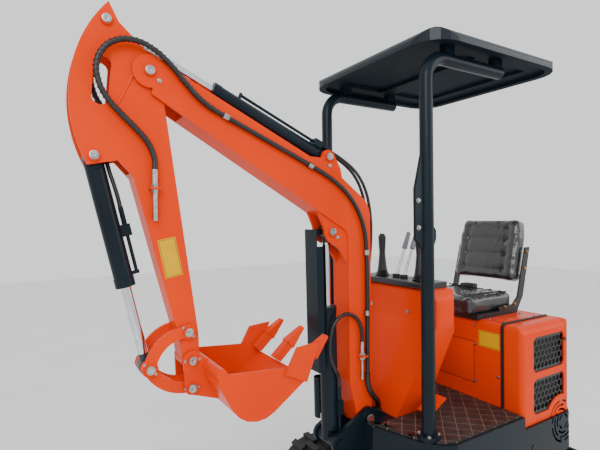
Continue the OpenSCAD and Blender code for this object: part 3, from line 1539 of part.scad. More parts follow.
module boom_hose_left() { color(black) at_origin() hose(boom_line, hose_r); }
module boom_hose_right() { color(black) at_origin() hose(mirrored(boom_line), hose_r); }
module arm_hose_left() { color(black) at_origin() hose(arm_line, hose_r); }
module arm_hose_right() { color(black) at_origin() hose(mirrored(arm_line), hose_r); }
module foot_sleeve_left() { color(black) at_origin() hose(foot_line, sleeve_r); }
module foot_sleeve_right() { color(black) at_origin() hose(mirrored(foot_line), sleeve_r); }
module loop_hose() { color(black) at_origin() hose(loop_line, loop_hose_r); }
module arm_cylinder_hose_left() { color(black) at_origin() hose(arm_cylinder_line, thin_hose_r); }
module arm_cylinder_hose_right() { color(black) at_origin()
  hose(mirrored(arm_cylinder_line), thin_hose_r); }
module bucket_hose() { color(black) at_origin() hose(bucket_line, thin_hose_r); }

track_frame();
track_left();
track_right();
sprockets();
idlers();
track_rollers();
travel_motors();
slew_ring();
dozer_blade();
blade_barrel();
blade_rod();
upper_frame();
counterweight();
floor_mat();
seat_box();
left_cowl();
right_cowl();
hood_grilles();
rear_hood();
engine_block();
console();
dash_panel();
joysticks();
travel_levers();
foot_pedals();
seat_base();
seat_cushion();
seat_back();
post_left();
post_right();
canopy_roof();
boom();
boom_barrel();
boom_rod();
arm_barrel();
arm_rod();
arm();
bucket_barrel();
bucket_rod();
rocker();
bucket_link();
bucket();
bucket_teeth();
rod_guard();
hood_seals();
boom_fittings();
arm_fittings();
deck_glands();
boom_hose_left();
boom_hose_right();
arm_hose_left();
arm_hose_right();
foot_sleeve_left();
foot_sleeve_right();
loop_hose();
arm_cylinder_hose_left();
arm_cylinder_hose_right();
bucket_hose();
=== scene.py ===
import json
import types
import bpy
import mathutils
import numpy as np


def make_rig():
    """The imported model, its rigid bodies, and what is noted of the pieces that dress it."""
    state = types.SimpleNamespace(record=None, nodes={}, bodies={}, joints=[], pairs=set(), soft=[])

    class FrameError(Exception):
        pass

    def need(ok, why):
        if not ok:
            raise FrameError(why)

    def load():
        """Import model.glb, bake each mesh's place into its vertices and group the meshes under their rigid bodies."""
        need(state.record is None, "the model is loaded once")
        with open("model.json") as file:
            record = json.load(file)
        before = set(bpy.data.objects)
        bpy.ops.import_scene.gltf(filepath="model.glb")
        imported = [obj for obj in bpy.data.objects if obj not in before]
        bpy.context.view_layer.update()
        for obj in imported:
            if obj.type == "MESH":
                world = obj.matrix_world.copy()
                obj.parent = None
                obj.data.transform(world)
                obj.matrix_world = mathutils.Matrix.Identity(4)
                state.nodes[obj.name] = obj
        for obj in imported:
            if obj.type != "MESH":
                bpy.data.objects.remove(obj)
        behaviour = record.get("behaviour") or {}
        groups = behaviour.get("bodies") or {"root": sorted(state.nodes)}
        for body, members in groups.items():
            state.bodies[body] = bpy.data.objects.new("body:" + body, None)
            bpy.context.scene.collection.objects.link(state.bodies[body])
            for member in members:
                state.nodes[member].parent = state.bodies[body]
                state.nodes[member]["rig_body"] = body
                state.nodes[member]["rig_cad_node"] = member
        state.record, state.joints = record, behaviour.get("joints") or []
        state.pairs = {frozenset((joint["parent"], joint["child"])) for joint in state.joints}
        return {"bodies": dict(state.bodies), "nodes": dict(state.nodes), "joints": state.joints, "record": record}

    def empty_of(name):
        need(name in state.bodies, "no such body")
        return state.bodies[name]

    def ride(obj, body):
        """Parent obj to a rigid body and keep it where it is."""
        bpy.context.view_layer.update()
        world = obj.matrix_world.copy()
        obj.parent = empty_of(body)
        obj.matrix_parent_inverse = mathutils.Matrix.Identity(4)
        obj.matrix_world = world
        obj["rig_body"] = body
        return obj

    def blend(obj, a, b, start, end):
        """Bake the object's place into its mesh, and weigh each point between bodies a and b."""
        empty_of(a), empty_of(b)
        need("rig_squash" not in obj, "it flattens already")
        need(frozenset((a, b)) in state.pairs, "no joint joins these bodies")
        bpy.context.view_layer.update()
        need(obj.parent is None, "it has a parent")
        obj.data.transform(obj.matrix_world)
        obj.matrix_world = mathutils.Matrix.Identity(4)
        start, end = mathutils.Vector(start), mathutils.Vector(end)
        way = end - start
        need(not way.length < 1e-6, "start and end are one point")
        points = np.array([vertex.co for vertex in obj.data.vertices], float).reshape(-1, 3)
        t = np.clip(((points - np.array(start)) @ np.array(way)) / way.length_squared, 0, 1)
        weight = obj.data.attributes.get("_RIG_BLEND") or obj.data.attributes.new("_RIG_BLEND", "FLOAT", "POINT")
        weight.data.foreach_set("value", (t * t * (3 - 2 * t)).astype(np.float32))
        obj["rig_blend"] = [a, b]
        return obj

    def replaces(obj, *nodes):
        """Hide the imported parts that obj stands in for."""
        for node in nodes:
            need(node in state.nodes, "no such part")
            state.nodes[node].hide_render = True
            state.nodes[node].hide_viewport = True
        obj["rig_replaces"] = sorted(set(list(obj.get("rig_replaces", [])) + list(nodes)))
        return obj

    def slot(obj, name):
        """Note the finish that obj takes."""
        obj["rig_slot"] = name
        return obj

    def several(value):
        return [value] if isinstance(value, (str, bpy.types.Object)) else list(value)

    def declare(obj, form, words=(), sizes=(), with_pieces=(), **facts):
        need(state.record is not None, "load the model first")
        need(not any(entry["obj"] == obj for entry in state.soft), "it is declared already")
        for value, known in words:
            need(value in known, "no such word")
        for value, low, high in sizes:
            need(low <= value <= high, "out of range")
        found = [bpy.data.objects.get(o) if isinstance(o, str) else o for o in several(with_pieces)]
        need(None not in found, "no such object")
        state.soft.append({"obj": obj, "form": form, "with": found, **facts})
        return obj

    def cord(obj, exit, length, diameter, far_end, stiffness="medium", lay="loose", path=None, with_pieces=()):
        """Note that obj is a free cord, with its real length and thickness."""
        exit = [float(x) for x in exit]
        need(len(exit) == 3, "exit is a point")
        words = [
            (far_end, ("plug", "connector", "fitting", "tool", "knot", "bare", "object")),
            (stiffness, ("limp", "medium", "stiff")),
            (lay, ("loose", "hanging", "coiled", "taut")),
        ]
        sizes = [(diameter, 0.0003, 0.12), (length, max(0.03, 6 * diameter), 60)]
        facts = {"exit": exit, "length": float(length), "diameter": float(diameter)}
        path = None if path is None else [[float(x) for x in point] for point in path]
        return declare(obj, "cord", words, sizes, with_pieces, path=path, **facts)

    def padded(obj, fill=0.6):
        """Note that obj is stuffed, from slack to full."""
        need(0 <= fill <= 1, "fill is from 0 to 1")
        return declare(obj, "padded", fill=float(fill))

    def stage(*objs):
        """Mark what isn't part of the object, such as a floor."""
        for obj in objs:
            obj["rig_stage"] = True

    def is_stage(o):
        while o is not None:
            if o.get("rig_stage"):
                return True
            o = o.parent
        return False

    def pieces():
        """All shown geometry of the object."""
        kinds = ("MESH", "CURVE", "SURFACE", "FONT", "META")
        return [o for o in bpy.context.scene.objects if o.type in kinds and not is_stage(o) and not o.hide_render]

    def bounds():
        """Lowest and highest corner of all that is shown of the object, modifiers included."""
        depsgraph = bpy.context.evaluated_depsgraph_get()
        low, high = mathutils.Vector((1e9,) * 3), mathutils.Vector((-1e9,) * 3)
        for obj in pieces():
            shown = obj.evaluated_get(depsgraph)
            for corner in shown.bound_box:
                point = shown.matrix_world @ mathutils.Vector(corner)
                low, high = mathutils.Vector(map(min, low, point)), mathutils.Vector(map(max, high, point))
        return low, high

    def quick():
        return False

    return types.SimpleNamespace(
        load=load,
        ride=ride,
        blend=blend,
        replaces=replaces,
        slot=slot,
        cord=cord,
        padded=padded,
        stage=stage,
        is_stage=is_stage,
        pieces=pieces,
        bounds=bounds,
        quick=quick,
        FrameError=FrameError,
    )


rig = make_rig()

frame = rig.load()

import json
from math import cos, pi, radians, sin

import bpy
from mathutils import Matrix, Vector

cad_low, cad_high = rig.bounds()

# Camera and studio
# A wide lens at head height, ahead of the machine's left front corner, looking back along it.
# The floor is pale and matt, with two large soft lights and a bright even room.
camera_place = (1.3630, 1.5988, 1.5260)
heading, pitch, roll = -121.65, -0.69, -0.71
camera_data = bpy.data.cameras.new("camera")
camera_data.sensor_width = 36
camera_data.lens = 27
camera = bpy.data.objects.new("camera", camera_data)
bpy.context.scene.collection.objects.link(camera)
camera.matrix_world = (Matrix.Translation(camera_place) @ Matrix.Rotation(radians(heading - 90), 4, "Z")
                       @ Matrix.Rotation(radians(90 + pitch), 4, "X")
                       @ Matrix.Rotation(radians(roll), 4, "Z"))
bpy.context.scene.camera = camera


def hex_color(code):
    """Linear colour of an sRGB hex code."""
    parts = [int(code[i:i + 2], 16) / 255 for i in (1, 3, 5)]
    return (*[c / 12.92 if c <= 0.04045 else ((c + 0.055) / 1.055) ** 2.4 for c in parts], 1)


def add(tree, kind, inputs=None, **settings):
    """A shader node with its settings, whose inputs are values or other sockets."""
    made = tree.nodes.new(kind)
    for key, value in settings.items():
        setattr(made, key, value)
    for key, value in (inputs or {}).items():
        if isinstance(value, bpy.types.NodeSocket):
            tree.links.new(value, made.inputs[key])
        else:
            made.inputs[key].default_value = value
    return made


def surface(name, **inputs):
    """A new material: itself, its node tree, its shader and the place on the object."""
    material = bpy.data.materials.new(name)
    material.use_nodes = True
    tree = material.node_tree
    shader = tree.nodes["Principled BSDF"]
    for key, value in inputs.items():
        shader.inputs[key.replace("_", " ")].default_value = value
    place = add(tree, "ShaderNodeTexCoord").outputs["Object"]
    return material, tree, shader, place


def blended(tree, factor, first, second):
    """A colour between two, which are hex codes or sockets."""
    ends = [hex_color(end) if isinstance(end, str) else end for end in (first, second)]
    mix = add(tree, "ShaderNodeMix", {"Factor": factor, "A": ends[0], "B": ends[1]}, data_type="RGBA")
    return mix.outputs["Result"]


def mottle(tree, shader, place, dark_tone, light_tone, scale):
    """Two tones of a colour, mixed by soft noise, which is returned."""
    noise = add(tree, "ShaderNodeTexNoise", {"Vector": place, "Scale": scale, "Detail": 4}).outputs["Fac"]
    tone = add(tree, "ShaderNodeMapRange", {"Value": noise, "From Min": 0.3, "From Max": 0.7})
    tree.links.new(blended(tree, tone.outputs["Result"], dark_tone, light_tone), shader.inputs["Base Color"])
    return noise


def rough_between(tree, shader, noise, low, high):
    """Roughness that wanders between two values with a noise."""
    spread = add(tree, "ShaderNodeMapRange", {"Value": noise, "To Min": low, "To Max": high})
    tree.links.new(spread.outputs["Result"], shader.inputs["Roughness"])


bpy.ops.object.select_all(action="DESELECT")
bpy.ops.mesh.primitive_plane_add(size=24, location=(0, 0, -0.001))
floor = bpy.context.object
floor.name = "floor"
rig.stage(floor)
# Matt floor paint, a little uneven over half a metre and more.
floor_paint, tree, shader, place = surface("floor_paint")
noise = mottle(tree, shader, place, "#e9e9e8", "#f0f0ef", 1.5)
rough_between(tree, shader, noise, 0.5, 0.7)
floor.data.materials.append(floor_paint)

world = bpy.data.worlds.new("room")
bpy.context.scene.world = world
world.use_nodes = True
world.node_tree.nodes["Background"].inputs["Color"].default_value = hex_color("#f4f5f7")
world.node_tree.nodes["Background"].inputs["Strength"].default_value = 1.3
for name, stand, aim, size, power in (("key_light", (2.6, 3.0, 3.6), (0, 0, 1.2), 2.4, 110),
                                      ("fill_light", (-3.0, 2.4, 2.8), (0, 0, 1.0), 2.6, 45)):
    bpy.ops.object.light_add(type="AREA", location=stand)
    lamp = bpy.context.object
    lamp.name = name
    lamp.data.size = size
    lamp.data.energy = power
    lamp.rotation_mode = "QUATERNION"
    lamp.rotation_quaternion = (lamp.location - Vector(aim)).to_track_quat("Z", "Y")

# Hydraulic hoses
# Rubber hoses with a wire braid inside and a smooth black cover, crimped to steel tails at both ends.
# The pair along the boom is clamped all the way; the others hang in arcs, so that the joints can move.
slew_x = next(j for j in frame["record"]["behaviour"]["joints"] if j["name"] == "slew")["pos_m"][0]


def grain(tree, shader, place, scale, depth):
    """A fine bump from noise, depth in metres."""
    noise = add(tree, "ShaderNodeTexNoise", {"Vector": place, "Scale": scale, "Detail": 3})
    bump = add(tree, "ShaderNodeBump", {"Height": noise.outputs["Fac"], "Distance": depth, "Strength": 0.6})
    tree.links.new(bump.outputs["Normal"], shader.inputs["Normal"])
    return bump


# Smooth rubber with a skin of about 1.5 mm.
hose_rubber, tree, shader, place = surface("hose_rubber", Roughness=0.42)
mottle(tree, shader, place, "#0d0d0e", "#1a1a1c", 40)
grain(tree, shader, place, 700, 0.00006)


def line(points):
    """Points of the upper body's frame, in millimetres, as row points in metres."""
    return [Vector((slew_x + x / 1000, y / 1000, z / 1000)) for x, y, z in points]


def mirrored(points):
    """The same points on the machine's other side."""
    return [(x, -y, z) for x, y, z in points]


def only(piece):
    """Selects one piece alone and makes it the active one."""
    bpy.ops.object.select_all(action="DESELECT")
    piece.select_set(True)
    bpy.context.view_layer.objects.active = piece


def curve_through(name, points, kind):
    """A curve through the points, smooth for BEZIER and straight from point to point for POLY."""
    curve = bpy.data.curves.new(name, "CURVE")
    curve.dimensions = "3D"
    spline = curve.splines.new(kind)
    spline.resolution_u = 6
    knots = spline.bezier_points if kind == "BEZIER" else spline.points
    knots.add(len(points) - 1)
    for knot, point in zip(knots, points):
        if kind == "BEZIER":
            knot.co = point
            knot.handle_left_type = knot.handle_right_type = "AUTO"
        else:
            knot.co = (*point, 1)
    drawn = bpy.data.objects.new(name, curve)
    bpy.context.scene.collection.objects.link(drawn)
    return drawn


def made_round(drawn, radius, rounds, crease):
    """Turns a curve into a mesh of round section with closed ends."""
    drawn.data.bevel_depth = radius
    drawn.data.bevel_resolution = rounds
    drawn.data.use_fill_caps = True
    only(drawn)
    bpy.ops.object.convert(target="MESH")
    bpy.ops.object.shade_smooth_by_angle(angle=radians(crease))
    drawn.data.materials.clear()


def hose(name, points, radius, node=None):
    """A round tube on a smooth curve, of hose rubber where it stands for a CAD node; also its middle line."""
    tube = curve_through(name, points, "BEZIER")
    middle = [v.co.copy() for v in tube.to_mesh().vertices]
    tube.to_mesh_clear()
    made_round(tube, radius, rounds=5, crease=50)
    if node:
        tube.data.materials.append(hose_rubber)
        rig.replaces(tube, node)
        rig.slot(tube, "hose_rubber")
    return tube, middle


def spiral_guard(name, middle, radius, pitch, wire):
    """A black strip wound round a hose, from just past one fitting to just before the other."""
    sides = 10
    bare_start, bare_end = 2 * sides, 4 * sides
    coil, run = [], 0
    for a, b in zip(middle, middle[1:]):
        ahead = (b - a).normalized()
        across = ahead.cross((0, 1, 0)).normalized()
        aside = ahead.cross(across)
        steps = max(1, round((b - a).length / pitch * sides))
        for step in range(steps):
            at = a.lerp(b, step / steps)
            turn = (run + (at - a).length) / pitch * 2 * pi
            coil.append(at + (across * cos(turn) + aside * sin(turn)) * radius)
        run += (b - a).length
    guard = curve_through(name, coil[bare_start:-bare_end], "POLY")
    made_round(guard, wire, rounds=1, crease=60)
    guard.data.materials.append(hose_rubber)
    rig.slot(guard, "hose_rubber")
    return guard


def hang(tube, middle, radius, leaves, guards=()):
    """Tells the frame that a hose hangs free, and at which end of its middle line it leaves the machine."""
    length = sum((b - a).length for a, b in zip(middle, middle[1:]))
    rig.cord(tube, exit=middle[leaves], length=length, diameter=2 * radius, far_end="object",
            stiffness="stiff", lay="hanging", path=middle, with_pieces=guards)


hose_y, bulkhead_x, bulkhead_y = 67.3, 1339, 58
boom_route = [(1098, 1908), (702, 1736), (640, 1707), (585, 1674), (535, 1634), (494, 1586), (462, 1530),
              (442, 1468), (434, 1400), (434, 846)]
boom_line = [(x, hose_y, z) for x, z in boom_route]
arm_line = [(1098, hose_y, 1908), (1129, hose_y, 1921.5), (1184, 69, 1956), (1234, 70, 2004),
            (1286, 71, 2058), (1341, 72, 2098), (1404, 71, 2116), (1458, 69, 2104), (1496, 67, 2070),
            (1514, 65, 2024), (1510, 63, 1974), (1487, 61, 1924), (1444, 60, 1876), (1398, 59, 1832),
            (1360, 58, 1788), (bulkhead_x, bulkhead_y, 1734), (bulkhead_x, bulkhead_y, 1700)]
foot_line = [(434, hose_y, 846), (434, hose_y, 812), (425, 69, 772), (403, 69, 738), (378, 62, 712),
             (360, 48, 692), (352, 40, 672), (352, 40, 660)]
loop_line = [(466, 70, 991), (466, 70, 1025), (473, 70, 1058), (490, 69, 1090), (518, 68, 1112),
             (551, 67, 1119), (585, 65, 1108), (611, 62, 1078), (625, 58, 1034), (627, 55, 982),
             (617, 52, 930), (596, 50, 884), (574, 42, 842), (573.4, 42, 808.4)]
arm_cylinder_line = [(576.8, 12, 1814.8), (546, 12, 1801), (500, 12, 1776), (456, 13, 1745), (420, 14, 1706),
                     (392, 15, 1656), (374, 15, 1600), (364, 15, 1540), (361, 15, 1470), (366, 15, 1390),
                     (376, 14, 1310), (388, 12, 1224), (388, 12, 1190)]
bucket_line = [(1440.4, 0, 1576.6), (1447.8, 0, 1609.6), (1459, -3, 1652), (1471, -9, 1694),
               (1479, -14, 1734), (1480, -18, 1766), (1480, -18, 1800)]
arm_bend = line([(1120, 0, 1915), (1420, 0, 1850)])
foot_bend = line([(352, 0, 670), (430, 0, 840)])
arm_cylinder_bend = line([(380, 0, 1450), (560, 0, 1810)])
bucket_bend = line([(1480, 0, 1780), (1445, 0, 1600)])
boom_radius, foot_radius, loop_radius, cylinder_radius = 0.009, 0.012, 0.008, 0.007
for side, way in (("left", list), ("right", mirrored)):
    tube, middle = hose(f"boom_tube_{side}", line(way(boom_line)), boom_radius, f"boom_hose_{side}")
    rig.ride(tube, "boom")
    tube, middle = hose(f"arm_tube_{side}", line(way(arm_line)), boom_radius, f"arm_hose_{side}")
    guard = spiral_guard(f"arm_guard_{side}", middle, boom_radius + 0.0002, pitch=0.016, wire=0.0022)
    hang(tube, middle, boom_radius, leaves=0, guards=[guard])
    for piece in (tube, guard):
        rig.blend(piece, "boom", "arm", *arm_bend)
    tube, middle = hose(f"foot_tube_{side}", line(way(foot_line)), foot_radius, f"foot_sleeve_{side}")
    hang(tube, middle, foot_radius, leaves=-1)
    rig.blend(tube, "upper", "boom", *foot_bend)
    tube, middle = hose(f"arm_cylinder_tube_{side}", line(way(arm_cylinder_line)), cylinder_radius,
                        f"arm_cylinder_hose_{side}")
    hang(tube, middle, cylinder_radius, leaves=-1)
    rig.blend(tube, "boom", "arm_barrel", *arm_cylinder_bend)
tube, middle = hose("loop_tube", line(loop_line), loop_radius, "loop_hose")
hang(tube, middle, loop_radius, leaves=0)
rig.ride(tube, "boom")
tube, middle = hose("bucket_tube", line(bucket_line), cylinder_radius, "bucket_hose")
hang(tube, middle, cylinder_radius, leaves=-1)
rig.blend(tube, "arm", "bucket_barrel", *bucket_bend)

# Undercarriage
# Moulded rubber tracks run round cast sprockets, idlers and rollers on a welded frame of plate.
# The frame and the dozer blade are sprayed in a dark blue grey, and the slew ring is turned from bare steel.
nodes = frame["nodes"]


def rounded_edges(tree, shader, place, scale, depth, radius=0.0015):
    """The fine peel of a sprayed coat, over edges that a grinder has broken to a radius in metres."""
    edge = add(tree, "ShaderNodeBevel", {"Radius": radius}, samples=4)
    bump = grain(tree, shader, place, scale, depth)
    tree.links.new(edge.outputs["Normal"], bump.inputs["Normal"])


def dress(material, *names):
    """Gives CAD nodes a material."""
    for name in names:
        mesh = nodes[name].data
        mesh.materials.clear()
        mesh.materials.append(material)


# Dark gloss coat with a peel of about 3 mm and slightly cooler clouds.
dark, tree, shader, place = surface("dark_paint", Specular_IOR_Level=0.12, Coat_Weight=0.07,
                                    Coat_Roughness=0.12)
noise = mottle(tree, shader, place, "#0b161c", "#111e26", 3)
rough_between(tree, shader, noise, 0.28, 0.42)
rounded_edges(tree, shader, place, 330, 0.00004)
dress(dark, "track_frame", "dozer_blade", "blade_barrel")
# Matt moulded rubber, greyer where dust sits, with a grain of about 4 mm.
rubber, tree, shader, place = surface("track_rubber")
noise = mottle(tree, shader, place, "#131314", "#242425", 8)
rough_between(tree, shader, noise, 0.62, 0.85)
rounded_edges(tree, shader, place, 260, 0.0002, 0.003)
dress(rubber, "track_left", "track_right")
# Sand casting under thin paint, with a skin of about 6 mm.
cast, tree, shader, place = surface("painted_casting", Roughness=0.55)
mottle(tree, shader, place, "#1a2025", "#272e34", 12)
rounded_edges(tree, shader, place, 160, 0.0003, 0.002)
dress(cast, "sprockets", "idlers", "track_rollers", "travel_motors")
# Bare turned steel, with a sheen that changes over about 70 mm.
turned, tree, shader, place = surface("turned_steel", Metallic=1)
noise = mottle(tree, shader, place, "#7c8083", "#a0a4a6", 14)
rough_between(tree, shader, noise, 0.28, 0.5)
dress(turned, "slew_ring")


def cylinder_rod(name, eye):
    """Ground and chromed rod, whose welded eye has the barrel's dark paint up to 50 mm from its pin."""
    rod, tree, shader, place = surface(name)
    away = add(tree, "ShaderNodeVectorMath", {0: place, 1: line([eye])[0]}, operation="DISTANCE")
    past_eye = add(tree, "ShaderNodeMath", {0: away.outputs["Value"], 1: 0.05}, operation="GREATER_THAN")
    bare = past_eye.outputs["Value"]
    noise = add(tree, "ShaderNodeTexNoise", {"Vector": place, "Scale": 60, "Detail": 3}).outputs["Fac"]
    for socket, painted, chromed in (("Roughness", 0.38, 0.1), ("Metallic", 0, 1)):
        level = add(tree, "ShaderNodeMapRange", {"Value": bare, "To Min": painted, "To Max": chromed})
        tree.links.new(level.outputs["Result"], shader.inputs[socket])
    shine = blended(tree, noise, "#b9bec2", "#e2e5e7")
    tree.links.new(blended(tree, bare, "#1a272f", shine), shader.inputs["Base Color"])
    grain(tree, shader, place, 420, 0.00002)
    return rod


dress(cylinder_rod("blade_rod_chrome", (-745, 0, 225)), "blade_rod")


def dressed(piece, name, body, material, slot, angle=40):
    """A finished piece: its place goes into its mesh, and it takes its name, finish, body and slot."""
    only(piece)
    bpy.ops.object.transform_apply(location=True, rotation=True, scale=True)
    bpy.ops.object.shade_smooth_by_angle(angle=radians(angle))
    piece.name = name
    if not piece.data.materials:
        piece.data.materials.append(material)
    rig.ride(piece, body)
    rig.slot(piece, slot)
    return piece


def softened(piece, width):
    """Breaks the sharp edges of a piece by a bevel of a width in metres."""
    bevel = piece.modifiers.new("broken_edges", "BEVEL")
    bevel.width = width
    bevel.segments = 2
    bevel.limit_method = "ANGLE"
    bevel.angle_limit = radians(30)
    only(piece)
    bpy.ops.object.modifier_apply(modifier=bevel.name)


def joined(pieces):
    """Several pieces made one."""
    only(pieces[0])
    for piece in pieces:
        piece.select_set(True)
    bpy.ops.object.join()
    return pieces[0]


def seat_on(node, point, out):
    """The turn and place of something that stands on a CAD node's face, below a point seen from outside."""
    out = Vector(out)
    hit, where, normal, index = nodes[node].ray_cast(line([point])[0] + out * 0.03, -out)
    if not hit:
        raise ValueError(f"nothing of {node} lies under {point}")
    return Matrix.Translation(where) @ out.to_track_quat("Z", "Y").to_matrix().to_4x4()


# Bright zinc plate, uneven over about 15 mm from its bath.
zinc, tree, shader, place = surface("zinc_plate", Metallic=1)
noise = mottle(tree, shader, place, "#8d908e", "#b8bab6", 60)
rough_between(tree, shader, noise, 0.22, 0.42)
# One bolt head on its washer, of radius 1, which is copied to every size.
bpy.ops.object.select_all(action="DESELECT")
bpy.ops.mesh.primitive_cylinder_add(vertices=24, radius=1, depth=0.5, location=(0, 0, 0))
washer = bpy.context.object
softened(washer, 0.08)
bpy.ops.object.select_all(action="DESELECT")
bpy.ops.mesh.primitive_cylinder_add(vertices=6, radius=0.8, depth=0.7, location=(0, 0, 0.5))
hexagon = bpy.context.object
softened(hexagon, 0.1)
bolt_head = joined([washer, hexagon])


def bolts(name, body, spots, material, shape=bolt_head):
    """Copies of a head on CAD nodes; a spot is a node, a point on its face, the way out and a radius."""
    heads = []
    for node, point, out, radius in spots:
        head = bpy.data.objects.new(name, shape.data.copy())
        bpy.context.scene.collection.objects.link(head)
        head.matrix_world = seat_on(node, point, out) @ Matrix.Scale(radius, 4)
        heads.append(head)
    return dressed(joined(heads), name, body, material, "steel", angle=30)


sprocket_x, sprocket_y, sprocket_z, bolt_circle = 419, 420, 185, 112
ring = [(sprocket_x + bolt_circle * cos(radians(turn)), sprocket_z + bolt_circle * sin(radians(turn)))
        for turn in range(0, 360, 40)]
for side, sign in (("left", 1), ("right", -1)):
    spots = [("sprockets", (x, sign * sprocket_y, z), (0, sign, 0), 0.008) for x, z in ring]
    bolts(f"sprocket_bolts_{side}", "undercarriage", spots, zinc)
edge_x, edge_z, edge_end, edge_pitch = -870, 38, 390, 156
edge_rows = range(-edge_end, edge_end + 1, edge_pitch)
edge_spots = [("dozer_blade", (edge_x, y, edge_z), (-1, 0, 0), 0.01) for y in edge_rows]
bolts("edge_bolts", "blade", edge_spots, zinc)

# Upper frame and deck
# A deck of folded plate on the slew ring carries the machine, and a cast weight closes its rear.
# Round plugs close the lashing holes in its side, and rubber glands line the hose holes.
dress(dark, "upper_frame", "counterweight")
# Soft moulded rubber with a fine skin of 2 mm.
gland_rubber, tree, shader, place = surface("gland_rubber", Roughness=0.6)
mottle(tree, shader, place, "#0e0e0f", "#191a1b", 25)
rounded_edges(tree, shader, place, 500, 0.00008)
dress(gland_rubber, "deck_glands")
dress(cast, "engine_block")


def pick_faces(piece, test):
    """Opens the active piece for editing, with only the faces selected that pass a test."""
    bpy.ops.object.mode_set(mode="EDIT")
    bpy.ops.mesh.select_all(action="DESELECT")
    bpy.ops.object.mode_set(mode="OBJECT")
    for face in piece.data.polygons:
        face.select = test(face)
    bpy.ops.object.mode_set(mode="EDIT")


def plug(name, body, node, point, out, radius, material, thick=0.006):
    """A pressed plug: a low disc with a dished middle and a rolled rim, half sunk in its hole."""
    bpy.ops.object.select_all(action="DESELECT")
    bpy.ops.mesh.primitive_cylinder_add(vertices=32, radius=radius, depth=thick)
    made = bpy.context.object
    pick_faces(made, lambda face: face.normal.z > 0.9)
    bpy.ops.mesh.inset(thickness=radius * 0.25)
    bpy.ops.mesh.inset(thickness=radius * 0.12, depth=-0.0015)
    bpy.ops.object.mode_set(mode="OBJECT")
    softened(made, 0.0009)
    made.matrix_world = seat_on(node, point, out)
    return dressed(made, name, body, material, "black_plastic")


frame_y = 440
for number, (x, z) in enumerate(((-440, 470), (-207, 493))):
    for side, sign in (("left", 1), ("right", -1)):
        plug(f"frame_plug_{number}_{side}", "upper", "upper_frame", (x, sign * frame_y, z), (0, sign, 0),
             radius=0.013, material=gland_rubber)

# Floor mat
# A sheet of brown foam-backed vinyl, cut to the deck and sewn in diamonds with a pale thread.
# It lies loose on the deck, and its cut edge is bound in black.
mat_tile = 0.056
first_seam = slew_x + 0.16
quilt = bpy.data.objects.new("quilted_mat", nodes["floor_mat"].data.copy())
bpy.context.scene.collection.objects.link(quilt)
only(quilt)
bpy.ops.object.mode_set(mode="EDIT")
bpy.context.tool_settings.mesh_select_mode = (False, False, True)
bpy.ops.mesh.select_all(action="SELECT")
bpy.ops.mesh.remove_doubles(threshold=0.00001)
bpy.ops.mesh.dissolve_limited(angle_limit=radians(1))
for slant in (1, -1):
    for step in range(-16, 17):
        seam = (first_seam + step * mat_tile * 2 ** 0.5, 0, 0)
        bpy.ops.mesh.select_all(action="SELECT")
        bpy.ops.mesh.bisect(plane_co=seam, plane_no=(1, slant, 0))
whole_tile = 0.4 * mat_tile ** 2
pick_faces(quilt, lambda face: face.normal.z > 0.9 and face.area > whole_tile and len(face.vertices) < 9)
bpy.ops.mesh.inset(thickness=0.0015, use_individual=True)
bpy.ops.mesh.inset(thickness=0.005, depth=0.0018, use_individual=True)
bpy.ops.mesh.inset(thickness=0.009, depth=0.0008, use_individual=True)
bpy.ops.object.mode_set(mode="OBJECT")


def calc(tree, operation, first, second=0.0):
    """One step of arithmetic on a pattern."""
    return add(tree, "ShaderNodeMath", {0: first, 1: second}, operation=operation).outputs["Value"]


# Brown leather grain of 2 mm pores; stitches 5 mm long and 1.6 mm thick follow the diamonds, 56 mm apart.
half_thread, half_stitch_step, half_gap = 0.0008, 0.004, 0.0013
mat_vinyl, tree, shader, place = surface("quilted_vinyl", Roughness=0.5)
mottle(tree, shader, place, "#1d1b1a", "#322e2b", 14)
grain(tree, shader, place, 480, 0.0002)
parts = add(tree, "ShaderNodeSeparateXYZ", {"Vector": place}).outputs
from_seam = calc(tree, "SUBTRACT", parts["X"], first_seam)
stitches = []
for slant in (1, -1):
    aside = calc(tree, "MULTIPLY", parts["Y"], slant)
    across = calc(tree, "MULTIPLY", calc(tree, "ADD", from_seam, aside), 2 ** -0.5)
    run = calc(tree, "MULTIPLY", calc(tree, "SUBTRACT", parts["X"], aside), 2 ** -0.5)
    near = calc(tree, "LESS_THAN", calc(tree, "PINGPONG", across, mat_tile / 2), half_thread)
    dash = calc(tree, "GREATER_THAN", calc(tree, "PINGPONG", run, half_stitch_step), half_gap)
    stitches.append(calc(tree, "MULTIPLY", near, dash))
thread = calc(tree, "MAXIMUM", *stitches)
brown = shader.inputs["Base Color"].links[0].from_socket
tree.links.new(blended(tree, thread, brown, "#a88f78"), shader.inputs["Base Color"])
quilt.data.materials.clear()
dressed(quilt, "quilted_mat", "upper", mat_vinyl, "mat", angle=50)
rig.replaces(quilt, "floor_mat")

# Seat box and engine cowls
# Pressed steel panels, sprayed gloss orange, stand on the deck round the engine and screw to one another.
# Black mesh backs the openings in the cowls, and a rubber seal covers each seam between cowl and box.
# Gloss coat with a peel of about 3 mm, a little deeper in slow clouds.
orange, tree, shader, place = surface("orange_paint", Specular_IOR_Level=0.05, Coat_Weight=0.06,
                                      Coat_Roughness=0.06)
noise = mottle(tree, shader, place, "#d63400", "#e03b00", 2.2)
rough_between(tree, shader, noise, 0.24, 0.36)
rounded_edges(tree, shader, place, 330, 0.00004, 0.0025)
dress(orange, "seat_box", "left_cowl", "right_cowl", "rear_hood")
